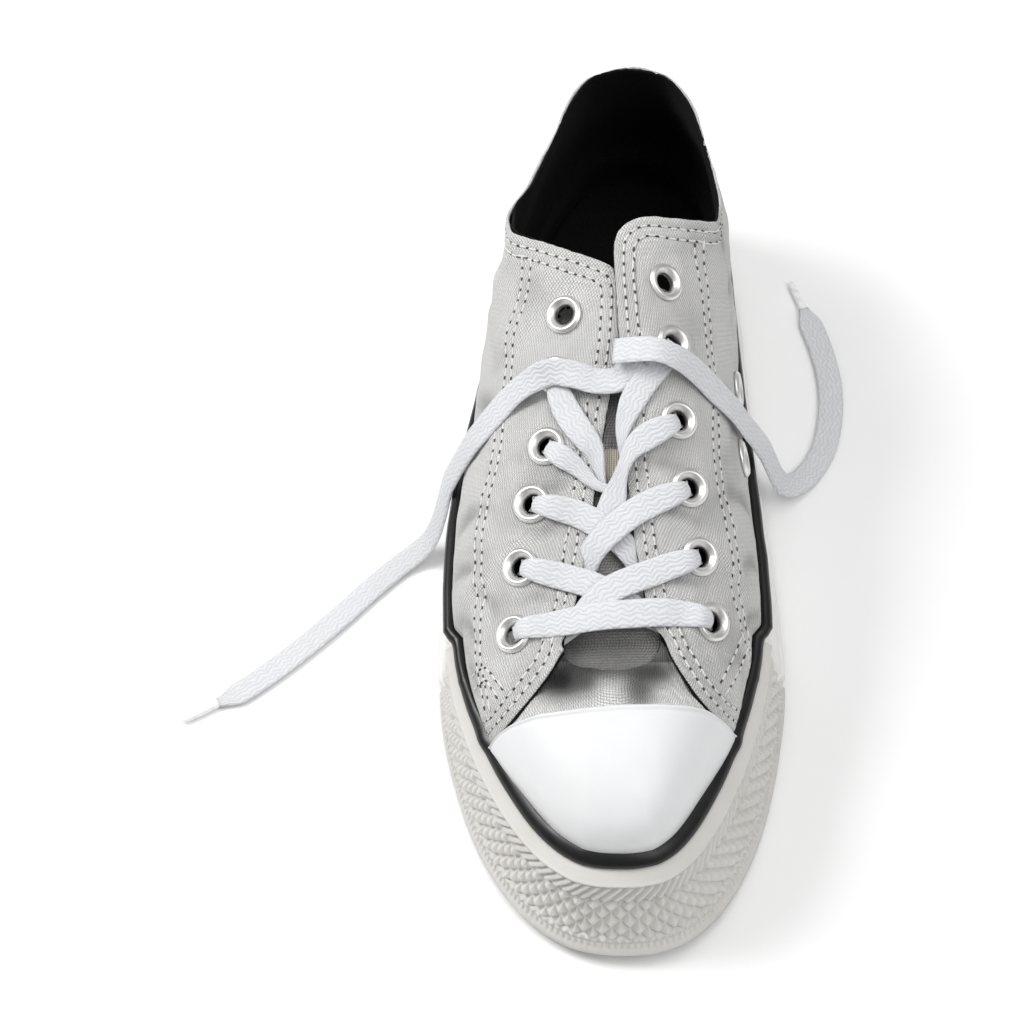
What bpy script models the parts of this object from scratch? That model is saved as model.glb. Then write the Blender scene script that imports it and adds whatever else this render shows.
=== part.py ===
"""Low-top canvas sneaker for the right foot, on a platform sole, in metres with +Z up.

The toe points to -Y, the heel to +Y, the medial side to +X. The origin is on the floor,
under the middle of the shoe. Everything round the shoe is placed by a turn: 0 is the back
of the heel, a half is the tip of the toe, and the medial side lies between them.
"""
import math

import bmesh
import bpy
import numpy as np
from mathutils import Matrix, Vector

# Driving sizes of the shoe
LENGTH = 0.278
BALL_WIDTH = 0.108
INSTEP_HEIGHT = 0.105
HEEL_HEIGHT = 0.089

# Sole
TOE_WALL = 0.0355
WAIST_WALL = 0.0355
HEEL_WALL = 0.0375
TOE_SPRING = 0.0045
ARCH_RISE = 0.0014
FOXING = 0.0030
FOXING_STEP = 0.0006
BUMPER = 0.0022
BUMPER_RELIEF = 0.0011
BUMPER_FOOT = 0.655
BUMPER_RAMP = 0.012
RIM_LINES = 56
RIM_CROWDING = 0.45
RIB_PITCH = 0.0052
DIAMOND_PITCH = 0.0062
STRIPE_PROUD = 0.0007
LUG_DEPTH = 0.0020
LUG_PITCH = 0.0135
GROOVE_WIDTH = 0.0035
INSOLE = 0.0035
INSOLE_CLEARANCE = 0.0021

# Upper
WALL = 0.0018
LAP = 0.0011
CAP_WALL = 0.0015
CAP_CLEARANCE = 0.0008
TONGUE_WALL = 0.0024
TONGUE_WIDTH = 0.044

# Eyelets and lace
EYELET_WIDTH = 0.0115
EYELET_HOLE = 0.0058
EYELET_LIP = 0.0011
BARREL_WALL = 0.0004
EYELET_SEAT = 0.0004
LACE_WIDTH = 0.0080
LACE_THICKNESS = 0.0013
AGLET_LENGTH = 0.012
AGLET_WIDTH = 0.0026
CORD_SPACING = 0.0066

# Space between pieces that touch
GAP = 0.0003

# Plan of the sole: shares of the length from the heel, and reaches as shares of the ball width
PLAN = (
    # station, medial, lateral
    (0.000, 0.044, 0.044),
    (0.007, 0.155, -0.065),
    (0.029, 0.244, -0.158),
    (0.083, 0.330, -0.250),
    (0.156, 0.375, -0.317),
    (0.246, 0.397, -0.374),
    (0.355, 0.421, -0.426),
    (0.464, 0.450, -0.472),
    (0.536, 0.472, -0.494),
    (0.609, 0.491, -0.500),
    (0.681, 0.500, -0.492),
    (0.754, 0.483, -0.465),
    (0.830, 0.440, -0.403),
    (0.900, 0.377, -0.318),
    (0.952, 0.303, -0.224),
    (0.983, 0.222, -0.128),
    (0.996, 0.143, -0.048),
    (1.000, 0.048, 0.048),
)

# Levels up the side wall, as shares of its height
OUTSOLE_LEVEL = 0.14
FOXING_LOW = 0.05
BUMPER_TOP = 0.585
RIBS_TOP = 0.80
FOXING_TOP = 0.885
FOOTBED_LEVEL = 0.62

# How far the side wall leans in at its top, as shares of the wall's height
LEAN = (
    # foot, lean
    (0.00, 0.10),
    (0.30, 0.12),
    (0.60, 0.15),
    (0.75, 0.19),
    (0.88, 0.24),
    (1.00, 0.26),
)

# Collar edge: foot is the share of the half outline where the line of canvas starts
# Out is a share of the ball width, station of the length, height of the heel height
COLLAR = (
    # foot, steps, medial out, station, height, lateral out, station, height, arch, bulge
    (0.000, 2, 0.054, 0.054, 1.000, 0.054, 0.054, 1.000, 0.00, 0.056),
    (0.070, 2, 0.152, 0.063, 0.996, -0.046, 0.063, 0.996, 0.00, 0.054),
    (0.135, 2, 0.222, 0.094, 0.980, -0.112, 0.098, 0.980, 0.02, 0.048),
    (0.200, 2, 0.266, 0.140, 0.961, -0.162, 0.150, 0.961, 0.05, 0.040),
    (0.270, 2, 0.297, 0.198, 0.955, -0.214, 0.207, 0.955, 0.08, 0.030),
    (0.340, 2, 0.315, 0.255, 1.000, -0.262, 0.257, 0.994, 0.14, 0.022),
)

# Flaps and throat: the same columns, with heights as shares of the instep height
THROAT = (
    (0.385, 2, 0.306, 0.303, 0.924, -0.255, 0.306, 0.910, 0.26, 0.018),
    (0.420, 1, 0.190, 0.313, 0.976, -0.153, 0.333, 0.938, 0.52, 0.014),
    (0.445, 1, 0.106, 0.317, 0.998, -0.069, 0.350, 0.946, 0.66, 0.012),
    (0.460, 1, 0.051, 0.333, 1.004, 0.032, 0.364, 0.936, 0.70, 0.011),
    (0.478, 2, 0.032, 0.352, 0.995, 0.051, 0.388, 0.914, 0.73, 0.010),
    (0.530, 2, 0.044, 0.419, 0.933, 0.042, 0.446, 0.862, 0.77, 0.009),
    (0.585, 2, 0.058, 0.500, 0.845, 0.011, 0.511, 0.795, 0.82, 0.008),
    (0.635, 2, 0.069, 0.573, 0.760, -0.019, 0.580, 0.717, 0.87, 0.008),
    (0.680, 2, 0.095, 0.652, 0.671, -0.051, 0.663, 0.636, 0.92, 0.010),
    (0.722, 2, 0.134, 0.725, 0.602, -0.085, 0.728, 0.590, 0.98, 0.008),
    (0.772, 1, 0.157, 0.741, 0.589, -0.106, 0.750, 0.579, 1.03, 0.006),
    (0.781, 3, 0.153, 0.750, 0.586, -0.097, 0.757, 0.579, 1.04, 0.006),
    (0.880, 4, 0.100, 0.767, 0.585, -0.032, 0.769, 0.584, 1.14, 0.000),
    (1.000, 0, 0.037, 0.772, 0.584, 0.037, 0.772, 0.584, 1.20, 0.000),
)
SEAM_QUARTER = 0.772
SEAM_VAMP = 0.781
RISES = (0.0, 0.15, 0.33, 0.51, 0.68, 0.84, 1.0)

# Rear edge of the toe cap: station of its middle, and how far forward its corners come
CAP_STATION = 0.811
CAP_CORNERS = 0.016
CAP_CORNER_FOOT = 0.800

# Eyelets from the throat up: foot and rise of each, on both flaps
EYELETS = (
    # lateral foot, rise, medial foot, rise
    (0.710, 0.635, 0.700, 0.550),
    (0.662, 0.650, 0.660, 0.615),
    (0.624, 0.705, 0.618, 0.675),
    (0.584, 0.745, 0.572, 0.710),
    (0.518, 0.735, 0.512, 0.705),
    (0.468, 0.770, 0.464, 0.750),
)
VENTS = ((0.425, 0.20), (0.500, 0.18))

# Lace rows: foot where each strand crosses its flap's front edge, the strand's width there as a
# share of the lace's, how far it runs toward the toe for each step across the throat, and the
# share of the throat it crosses
LACE_ROWS = (
    # lateral foot, medial foot, width, slope, reach
    (0.724, 0.718, 1.00, 0.00, 1.00),
    (0.690, 0.692, 0.95, 0.37, 0.85),
    (0.656, 0.662, 0.85, 0.60, 0.85),
    (0.638, 0.632, 0.65, 1.00, 0.80),
    (0.618, 0.606, 0.50, 1.20, 0.64),
)
LACE_CLEAR = 0.0010

# Tongue: station as a share of the length, ridge height of the instep height, width of the tongue's
TONGUE = (
    # station, out, ridge, width
    (0.745, 0.030, 0.550, 0.62),
    (0.690, 0.028, 0.588, 0.68),
    (0.600, 0.026, 0.672, 0.78),
    (0.500, 0.024, 0.768, 0.88),
    (0.400, 0.026, 0.845, 0.96),
    (0.330, 0.030, 0.893, 1.00),
    (0.300, 0.032, 0.910, 0.90),
)
TONGUE_DROP = 0.24

# Free lace ends: points chosen by hand, in millimetres
LATERAL_END = (
    (4.8, 2.4, 89.0), (0.0, 2.2, 89.9), (-4.0, 3.0, 90.8), (-8.4, 3.8, 91.8), (-12.8, 5.0, 91.7),
    (-18.6, 5.2, 88.9), (-24.3, 5.4, 82.8), (-28.4, 4.7, 77.8), (-31.4, 3.3, 74.4), (-35.2, 1.6, 69.6),
    (-39.2, 0.6, 63.8), (-43.0, 0.4, 55.8), (-46.6, 1.4, 46.0), (-49.9, 2.2, 36.5), (-52.8, 2.0, 24.0),
    (-56.2, 1.2, 12.0), (-60.5, -1.0, 4.8), (-67.0, -4.8, 1.8), (-76.0, -13.6, 1.2),
    (-87.6, -26.5, 1.2), (-100.8, -39.8, 1.2), (-113.5, -50.6, 1.2), (-121.5, -55.6, 1.5),
)
MEDIAL_END = (
    (3.6, 8.4, 96.6), (5.9, 7.6, 97.4), (10.9, 7.2, 99.3), (16.4, 6.8, 99.3), (22.7, 6.4, 95.2),
    (27.9, 6.6, 88.0), (31.3, 6.1, 82.4), (34.9, 5.9, 76.4), (38.5, 7.0, 68.4), (42.1, 9.4, 56.5),
    (45.6, 12.3, 45.0), (48.2, 14.2, 36.0), (50.8, 16.0, 24.0), (53.6, 18.5, 12.0), (57.8, 22.5, 4.6),
    (63.0, 29.0, 1.7), (67.6, 38.0, 1.2), (70.2, 50.0, 1.2), (70.6, 62.0, 1.2), (69.0, 74.0, 1.2),
    (65.8, 86.0, 1.2), (62.6, 95.0, 1.5),
)
MILLIMETRE = 0.001


def clear_scene():
    """Empty the scene before the shoe is made."""
    for item in list(bpy.data.objects):
        bpy.data.objects.remove(item, do_unlink=True)


def collection(name):
    """Make a collection and link it to the scene."""
    made = bpy.data.collections.new(name)
    bpy.context.scene.collection.children.link(made)
    return made


def finish(name, colour, roughness, metallic=0.0):
    """Make a Principled material."""
    made = bpy.data.materials.new(name)
    made.use_nodes = True
    shader = made.node_tree.nodes["Principled BSDF"]
    shader.inputs["Base Color"].default_value = (*colour, 1.0)
    shader.inputs["Roughness"].default_value = roughness
    shader.inputs["Metallic"].default_value = metallic
    return made


def slopes(knots, values, level_ends):
    """Give slopes that keep a curve through the values from swinging past them."""
    steps = np.diff(knots)
    rates = np.diff(values) / steps
    inner = np.zeros(len(knots))
    same = rates[:-1] * rates[1:] > 0
    near, far = steps[:-1] + 2 * steps[1:], 2 * steps[:-1] + steps[1:]
    with np.errstate(divide="ignore", invalid="ignore"):
        mean = (near + far) / (near / rates[:-1] + far / rates[1:])
    inner[1:-1] = np.where(same, mean, 0.0)
    if not level_ends:
        inner[0], inner[-1] = rates[0], rates[-1]
    return inner


def follow(places, knots, values, level_ends=False):
    """Read a smooth curve through the values at the places, level at both ends if asked."""
    knots, values = np.asarray(knots, float), np.asarray(values, float)
    places = np.asarray(places, float)
    turn = slopes(knots, values, level_ends)
    low = np.clip(np.searchsorted(knots, places, side="right") - 1, 0, len(knots) - 2)
    step = knots[low + 1] - knots[low]
    part = (places - knots[low]) / step
    return (
        values[low] * (1 + 2 * part) * (1 - part) ** 2
        + turn[low] * step * part * (1 - part) ** 2
        + values[low + 1] * part ** 2 * (3 - 2 * part)
        + turn[low + 1] * step * part ** 2 * (part - 1)
    )


def round_curve(points, count, closed=False):
    """Sample a smooth curve through the points at an even spacing."""
    points = np.asarray(points, float)
    if closed:
        loop = np.vstack([points[-1:], points, points[:2]])
    else:
        loop = np.vstack([2 * points[0] - points[1], points, 2 * points[-1] - points[-2]])
    dense = []
    for before, start, end, after in zip(loop, loop[1:], loop[2:], loop[3:]):
        part = np.linspace(0, 1, 24, endpoint=False)[:, None]
        dense.append(0.5 * (
            2 * start + (end - before) * part
            + (2 * before - 5 * start + 4 * end - after) * part ** 2
            + (3 * start - before - 3 * end + after) * part ** 3
        ))
    dense = np.vstack(dense + [loop[-2:-1]])
    run = np.concatenate([[0], np.cumsum(np.linalg.norm(np.diff(dense, axis=0), axis=1))])
    wanted = np.linspace(0, run[-1], count, endpoint=not closed)
    return np.stack([np.interp(wanted, run, dense[:, axis]) for axis in range(points.shape[1])], axis=1)


def plan_outline():
    """Trace the sole's outline from the heel round the medial side, with its turns."""
    rows = np.array(PLAN)
    along = LENGTH * (0.5 - rows[:, 0])
    medial = np.stack([rows[:, 1] * BALL_WIDTH, along], axis=1)
    lateral = np.stack([rows[:, 2] * BALL_WIDTH, along], axis=1)[-2:0:-1]
    dense = round_curve(np.vstack([medial, lateral]), 1200, closed=True)
    run = np.concatenate([[0], np.cumsum(np.linalg.norm(np.diff(dense, axis=0), axis=1))])
    tip = int(np.argmin(np.linalg.norm(dense - medial[-1], axis=1)))
    whole = run[-1] + np.linalg.norm(dense[0] - dense[-1])
    turns = np.where(run <= run[tip], 0.5 * run / run[tip], 0.5 + 0.5 * (run - run[tip]) / (whole - run[tip]))
    return turns, dense, whole


PLAN_TURNS, PLAN_POINTS, PLAN_LENGTH = plan_outline()


def foot_of(turn):
    """Turn into the share of the half outline from heel to toe."""
    turn = np.mod(turn, 1.0)
    return 1 - np.abs(2 * turn - 1)


def plan_at(turn):
    """Give the outline point at a turn."""
    turn = np.mod(turn, 1.0)
    knots = np.append(PLAN_TURNS, 1.0)
    ring = np.vstack([PLAN_POINTS, PLAN_POINTS[:1]])
    return np.stack([np.interp(turn, knots, ring[:, axis]) for axis in (0, 1)], axis=-1)


def outward_at(turn):
    """Give the outline's outward direction at a turn."""
    reach = 0.006
    way = plan_at(turn + reach) - plan_at(turn - reach)
    way /= np.linalg.norm(way, axis=-1, keepdims=True)
    return np.stack([-way[..., 1], way[..., 0]], axis=-1)


def station_of(turn):
    """Give the share of the length from the heel at a turn."""
    return 0.5 - plan_at(turn)[..., 1] / LENGTH


def sole_bottom(station):
    """Height of the tread: flat heel and ball, a raised arch and toe spring."""
    toe = np.clip((station - 0.79) / 0.21, 0, 1)
    arch = np.clip((station - 0.33) / 0.24, 0, 1)
    return TOE_SPRING * toe ** 2 + ARCH_RISE * np.sin(math.pi * arch) ** 2


def wall_top(station):
    """Height of the side wall's top edge."""
    wall = follow(station, (0.0, 0.18, 0.50, 0.72, 0.88, 1.0),
                  (HEEL_WALL, HEEL_WALL, WAIST_WALL, TOE_WALL, TOE_WALL, TOE_WALL))
    toe = np.clip((station - 0.79) / 0.21, 0, 1)
    return wall + TOE_SPRING * toe ** 2


def side_wall(turn, level, depth):
    """Give the point of the side wall at a level, a depth inside its face."""
    turn = np.asarray(turn, float)
    rows = np.array(LEAN)
    station = station_of(turn)
    low, top = sole_bottom(station), wall_top(station)
    lean = follow(foot_of(turn), rows[:, 0], rows[:, 1]) * (top - low)
    place = plan_at(turn) - outward_at(turn) * (lean * level + depth)[..., None]
    return np.concatenate([place, (low + (top - low) * level)[..., None]], axis=-1)


def side_ramp(turn):
    """Rise from 0 behind the toe bumper to 1 under it."""
    return np.clip((foot_of(turn) - BUMPER_FOOT + BUMPER_RAMP) / BUMPER_RAMP + 0.02, 0, 1)


def rim_turns(count=RIM_LINES):
    """Turns round the sole, closer at heel and toe, with lines at both ends of the bumper's ramp."""
    ends = np.array([BUMPER_FOOT - BUMPER_RAMP, BUMPER_FOOT - 0.02 * BUMPER_RAMP]) / 2
    half = np.linspace(0, 0.5, count // 2 + 1)
    half = half - RIM_CROWDING * np.sin(4 * math.pi * half) / (4 * math.pi)
    clear = np.abs(half[:, None] - ends[None, :]).min(axis=1) > 0.35 / count
    half = np.sort(np.concatenate([half[clear], ends]))
    return np.concatenate([half, 1 - half[-2:0:-1]])


def face_depth(turn):
    """Depth of the foxing's face, which gives way under the toe bumper."""
    return side_ramp(turn) * (BUMPER + GAP)


def upper_tables():
    """Join the collar and throat rows, with heights and lengths in metres."""
    rows = []
    for table, height in ((COLLAR, HEEL_HEIGHT), (THROAT, INSTEP_HEIGHT)):
        for foot, steps, out, along, up, out_two, along_two, up_two, arch, bulge in table:
            medial = (out * BALL_WIDTH, (0.5 - along) * LENGTH, up * height)
            lateral = (out_two * BALL_WIDTH, (0.5 - along_two) * LENGTH, up_two * height)
            rows.append((foot, steps, medial, lateral, arch, bulge * HEEL_HEIGHT))
    return rows


UPPER_ROWS = upper_tables()


def opening_edge(turn):
    """Give the point of the collar and throat edge, the arch and the bulge at a turn."""
    turn = np.mod(np.asarray(turn, float), 1.0)
    foots = [row[0] for row in UPPER_ROWS]
    share = foot_of(turn)
    sides = []
    for side in (2, 3):
        columns = [[row[side][axis] for row in UPPER_ROWS] for axis in range(3)]
        sides.append(np.stack([follow(share, foots, columns[axis], axis > 0) for axis in range(3)], axis=-1))
    edge = np.where((turn <= 0.5)[..., None], sides[0], sides[1])
    arch = follow(share, foots, [row[4] for row in UPPER_ROWS], True)
    bulge = follow(share, foots, [row[5] for row in UPPER_ROWS], True)
    return edge, arch, bulge


def upper_base(turn, rise):
    """Give the canvas surface: rise runs from the top of the side wall to the opening edge.

    A rise below 0 runs down inside the foxing to the footbed at -1.
    """
    turn, rise = np.broadcast_arrays(np.asarray(turn, float), np.asarray(rise, float))
    edge, arch, bulge = opening_edge(turn)
    level = 1 + np.minimum(rise, 0) * (1 - FOOTBED_LEVEL - 2 * GAP / WAIST_WALL)
    start = side_wall(turn, level, face_depth(turn) + FOXING + 2 * GAP)
    up = np.clip(rise, 0, 1)
    quarter = up * math.pi / 2
    inward = (1 - arch) * up + arch * (1 - np.cos(quarter))
    upward = (1 - arch) * up + arch * np.sin(quarter)
    swell = bulge * np.sin(math.pi * np.sqrt(up)) ** 2
    place = start[..., :2] + (edge[..., :2] - start[..., :2]) * inward[..., None]
    place = place + outward_at(turn) * swell[..., None]
    height = start[..., 2] + (edge[..., 2] - start[..., 2]) * upward
    return np.concatenate([place, height[..., None]], axis=-1)


def upper_normal(turn, rise):
    """Give the canvas surface's outward direction."""
    turn, rise = np.broadcast_arrays(np.asarray(turn, float), np.asarray(rise, float))
    across = upper_base(turn + 0.004, rise) - upper_base(turn - 0.004, rise)
    low, high = np.clip(rise - 0.05, -1, 0.9), np.clip(rise + 0.05, -0.9, 1)
    up = upper_base(turn, high) - upper_base(turn, low)
    normal = np.cross(up, across)
    return normal / np.linalg.norm(normal, axis=-1, keepdims=True)


def upper_skin(turn, rise, lift):
    """Give the point a lift outside the canvas surface."""
    turn, rise = np.broadcast_arrays(np.asarray(turn, float), np.asarray(rise, float))
    return upper_base(turn, rise) + upper_normal(turn, rise) * np.asarray(lift, float)[..., None]


def lapped(turn):
    """Say where the quarters lie over the vamp: 1 on them, 0 on the vamp."""
    return (foot_of(turn) < 0.5 * (SEAM_QUARTER + SEAM_VAMP)).astype(float)


def place_mesh(name, verts, faces, material, home, smooth=True):
    """Make a mesh object from vertices and faces."""
    mesh = bpy.data.meshes.new(name)
    mesh.from_pydata([tuple(float(value) for value in vert) for vert in verts], [], faces)
    solid = bmesh.new()
    solid.from_mesh(mesh)
    bmesh.ops.recalc_face_normals(solid, faces=solid.faces)
    solid.to_mesh(mesh)
    solid.free()
    mesh.materials.append(material)
    if smooth:
        mesh.shade_smooth()
        mesh.set_sharp_from_angle(angle=math.radians(40))
    made = bpy.data.objects.new(name, mesh)
    home.objects.link(made)
    return made


def loft(name, sections, material, home, closed=True, round_section=True):
    """Skin a row of sections, each a loop of points; an open row gets flat ends."""
    count, size = len(sections), len(sections[0])
    verts = [point for section in sections for point in section]
    faces = []
    for one in range(count if closed else count - 1):
        two = (one + 1) % count
        for here in range(size if round_section else size - 1):
            there = (here + 1) % size
            faces.append((one * size + here, one * size + there, two * size + there, two * size + here))
    if not closed:
        faces.append(tuple(reversed(range(size))))
        faces.append(tuple((count - 1) * size + here for here in range(size)))
    return place_mesh(name, verts, faces, material, home)


def slab(name, rings, material, home):
    """Stack loops round the shoe from low to high, with caps of strips from side to side."""
    size = len(rings[0])
    half = size // 2
    verts = [point for ring in rings for point in ring]
    faces = []
    for low in range(len(rings) - 1):
        for here in range(size):
            there = (here + 1) % size
            faces.append((low * size + here, low * size + there, (low + 1) * size + there, (low + 1) * size + here))
    for base, flip in ((0, True), ((len(rings) - 1) * size, False)):
        for here in range(half):
            one, two = (size - here) % size, size - here - 1
            strip = [base + here, base + here + 1, base + two, base + one]
            strip = list(dict.fromkeys(strip))
            faces.append(tuple(reversed(strip)) if flip else tuple(strip))
    return place_mesh(name, verts, faces, material, home)


def combine(target, others, operation):
    """Cut or join a mesh object with others and apply the result."""
    for other in others:
        step = target.modifiers.new(operation.lower(), "BOOLEAN")
        step.object = other
        step.operation = operation
        step.solver = "EXACT"
    graph = bpy.context.evaluated_depsgraph_get()
    solid = bpy.data.meshes.new_from_object(target.evaluated_get(graph))
    target.modifiers.clear()
    target.data = solid
    for other in others:
        bpy.data.objects.remove(other, do_unlink=True)


def make_outsole(home, cutters, rubber):
    """Tread plate with chevron grooves under the heel and the ball."""
    turns = rim_turns()
    levels = ((0.0, 0.0012), (0.03, 0.0), (OUTSOLE_LEVEL, 0.0))
    rings = [side_wall(turns, level, face_depth(turns) + FOXING * 0.35 + inset) for level, inset in levels]
    plate = slab("outsole", rings, rubber, home)
    grooves = []
    for first, last in ((0.07, 0.31), (0.60, 0.90)):
        count = int((last - first) * LENGTH / LUG_PITCH)
        for step in range(count + 1):
            station = first + (last - first) * step / count
            grooves.append(make_groove(station, cutters, rubber))
    combine(plate, grooves, "DIFFERENCE")
    return plate


def make_groove(station, home, rubber):
    """Chevron cutter across the tread at a station."""
    rows = np.array(PLAN)
    medial = follow(station, rows[:, 0], rows[:, 1]) * BALL_WIDTH
    lateral = follow(station, rows[:, 0], rows[:, 2]) * BALL_WIDTH
    rim = 0.009
    bends = np.linspace(lateral + rim, medial - rim, 3)
    along = LENGTH * (0.5 - station)
    roof = float(sole_bottom(np.array(station))) + LUG_DEPTH
    sections = []
    for step, out in enumerate(bends):
        shift = (step % 2) * LUG_PITCH * 0.42
        front, back = along + shift, along + shift + GROOVE_WIDTH
        sections.append([(out, front, -LUG_DEPTH), (out, back, -LUG_DEPTH), (out, back, roof), (out, front, roof)])
    groove = loft("groove", sections, rubber, home, closed=False)
    groove.hide_render = True
    groove.display_type = "WIRE"
    return groove


def make_midsole(home, foam):
    """Platform body from the tread up to the footbed."""
    turns = rim_turns()
    depth = face_depth(turns) + FOXING + GAP
    spare = GAP / WAIST_WALL
    levels = (OUTSOLE_LEVEL + spare, 0.4, FOOTBED_LEVEL)
    return slab("midsole", [side_wall(turns, level, depth) for level in levels], foam, home)


def make_insole(home, cloth):
    """Sock liner on the footbed, inside the upper."""
    turns = rim_turns()
    depth = face_depth(turns) + FOXING + GAP + WALL + INSOLE_CLEARANCE
    low = side_wall(turns, FOOTBED_LEVEL, depth) + np.array([0, 0, GAP])
    return slab("insole", [low, low + np.array([0, 0, INSOLE])], cloth, home)


def make_foxing(home, rubber):
    """Rubber band round the platform, with a lip along its foot."""
    turns = rim_turns()
    face = face_depth(turns)
    outer = ((FOXING_LOW, 0.0), (0.150, 0.0), (0.165, FOXING_STEP), (FOXING_TOP, FOXING_STEP))
    loops = [side_wall(turns, level, face + depth) for level, depth in outer]
    loops.append(side_wall(turns, FOXING_TOP, face + FOXING))
    loops.append(side_wall(turns, OUTSOLE_LEVEL + 0.004, face + FOXING))
    loops.append(side_wall(turns, OUTSOLE_LEVEL + 0.004, face + FOXING * 0.35 - GAP))
    loops.append(side_wall(turns, FOXING_LOW, face + FOXING * 0.35 - GAP))
    sections = [[loop[here] for loop in loops] for here in range(len(turns))]
    return loft("foxing", sections, rubber, home)


def make_stripe(home, rubber):
    """Black bead that covers the top of the foxing."""
    turns = rim_turns()
    face = face_depth(turns)
    low = FOXING_TOP + GAP / WAIST_WALL
    middle = 0.5 * (low + 1)
    profile = ((low, -0.3 * STRIPE_PROUD), (middle, -STRIPE_PROUD), (1.0, 0.0009), (1.0, FOXING), (low, FOXING))
    loops = [side_wall(turns, level, face + depth) for level, depth in profile]
    sections = [[loop[here] for loop in loops] for here in range(len(turns))]
    return loft("stripe", sections, rubber, home)


def toe_turns(pitch):
    """Even turns round the toe from one end of the bumper to the other, in whole pairs."""
    arc = (1 - BUMPER_FOOT) * PLAN_LENGTH
    pairs = int(round(arc / pitch))
    return np.linspace(BUMPER_FOOT / 2, 1 - BUMPER_FOOT / 2, 2 * pairs + 1)


def make_rib_band(home, rubber):
    """Band of slanting ribs round the toe, under a smooth bead."""
    turns = toe_turns(RIB_PITCH)
    slant = 0.35 * RIB_PITCH / PLAN_LENGTH
    low, high = BUMPER_TOP + GAP / TOE_WALL, RIBS_TOP - 0.03
    rib = np.where(np.arange(len(turns)) % 2 == 0, 0.0, BUMPER_RELIEF * 0.8)
    loops = [
        side_wall(turns + slant, low, rib),
        side_wall(turns - slant, high, rib),
        side_wall(turns, high + 0.004, 0 * rib),
        side_wall(turns, RIBS_TOP, 0 * rib + 0.0004),
        side_wall(turns, RIBS_TOP, 0 * rib + BUMPER),
        side_wall(turns, low, 0 * rib + BUMPER),
    ]
    sections = [[loop[here] for loop in loops] for here in range(len(turns))]
    return loft("toe_rib_band", sections, rubber, home, closed=False)


def make_bumper(home, rubber):
    """Toe bumper with rows of raised diamonds over a smooth foot."""
    turns = toe_turns(DIAMOND_PITCH)
    count = len(turns)
    bands = 4
    low, high = 0.20, BUMPER_TOP - 0.02
    levels = [FOXING_LOW, low - 0.02] + [low + (high - low) * row / bands for row in range(bands + 1)]
    depths = [0 * turns, 0 * turns]
    for row in range(bands + 1):
        depths.append(np.where((np.arange(count) + row) % 2 == 0, 0.0, BUMPER_RELIEF))
    levels += [BUMPER_TOP, BUMPER_TOP, FOXING_LOW]
    depths += [0 * turns + 0.0003, 0 * turns + BUMPER, 0 * turns + BUMPER]
    loops = [side_wall(turns, level, depth) for level, depth in zip(levels, depths)]
    size = len(loops)
    verts = [loop[here] for here in range(count) for loop in loops]
    faces = []
    for one in range(count - 1):
        for here in range(size):
            there = (here + 1) % size
            corner = (one * size + here, one * size + there, (one + 1) * size + there, (one + 1) * size + here)
            diamond = 2 <= here < 2 + bands
            if diamond and (one + here) % 2 == 0:
                faces += [(corner[0], corner[1], corner[3]), (corner[1], corner[2], corner[3])]
            elif diamond:
                faces += [(corner[0], corner[1], corner[2]), (corner[0], corner[2], corner[3])]
            else:
                faces.append(corner)
    faces.append(tuple(reversed(range(size))))
    faces.append(tuple((count - 1) * size + here for here in range(size)))
    return place_mesh("toe_bumper", verts, faces, rubber, home)


def upper_turns():
    """Turns of the upper's lines, closer together where its edge bends."""
    half = []
    for row, following in zip(UPPER_ROWS, UPPER_ROWS[1:]):
        half += [row[0] + (following[0] - row[0]) * step / row[1] for step in range(row[1])]
    half = np.array(half) / 2
    return np.concatenate([half, [0.5], 1 - half[:0:-1]])


def shell(name, outer, inner, material, home, closed):
    """Close a wall between two grids of points, outer and inner, by its edges."""
    columns, rows = outer.shape[:2]
    verts = list(outer.reshape(-1, 3)) + list(inner.reshape(-1, 3))
    base = columns * rows
    faces = []
    for one in range(columns if closed else columns - 1):
        two = (one + 1) % columns
        for low in range(rows - 1):
            quad = (one * rows + low, two * rows + low, two * rows + low + 1, one * rows + low + 1)
            faces.append(quad)
            faces.append(tuple(base + index for index in reversed(quad)))
        for row, flip in ((0, False), (rows - 1, True)):
            rim = (one * rows + row, base + one * rows + row, base + two * rows + row, two * rows + row)
            faces.append(tuple(reversed(rim)) if flip else rim)
    if not closed:
        for column, flip in ((0, False), (columns - 1, True)):
            for low in range(rows - 1):
                start = column * rows + low
                rim = (start, start + 1, base + start + 1, base + start)
                faces.append(tuple(reversed(rim)) if flip else rim)
    return place_mesh(name, verts, faces, material, home)


def make_upper(home, cutters, canvas):
    """Canvas upper: one wall that steps out where the quarters lap the vamp."""
    turns = upper_turns()[:, None]
    rises = np.array((-1.0,) + RISES)[None, :]
    step = np.where(rises > 0.01, LAP * lapped(turns), 0.0)
    outer = upper_skin(turns, rises, step)
    inner = upper_skin(turns, rises, step - WALL)
    upper = shell("upper", outer, inner, canvas, home, closed=True)
    holes = [make_hole(place, cutters, canvas) for place in eyelet_places().values()]
    combine(upper, holes, "DIFFERENCE")
    return upper


def side_turn(side, foot):
    """Turn of a foot on the medial side, 1, or the lateral side, -1."""
    return foot / 2 if side > 0 else 1 - foot / 2


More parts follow.
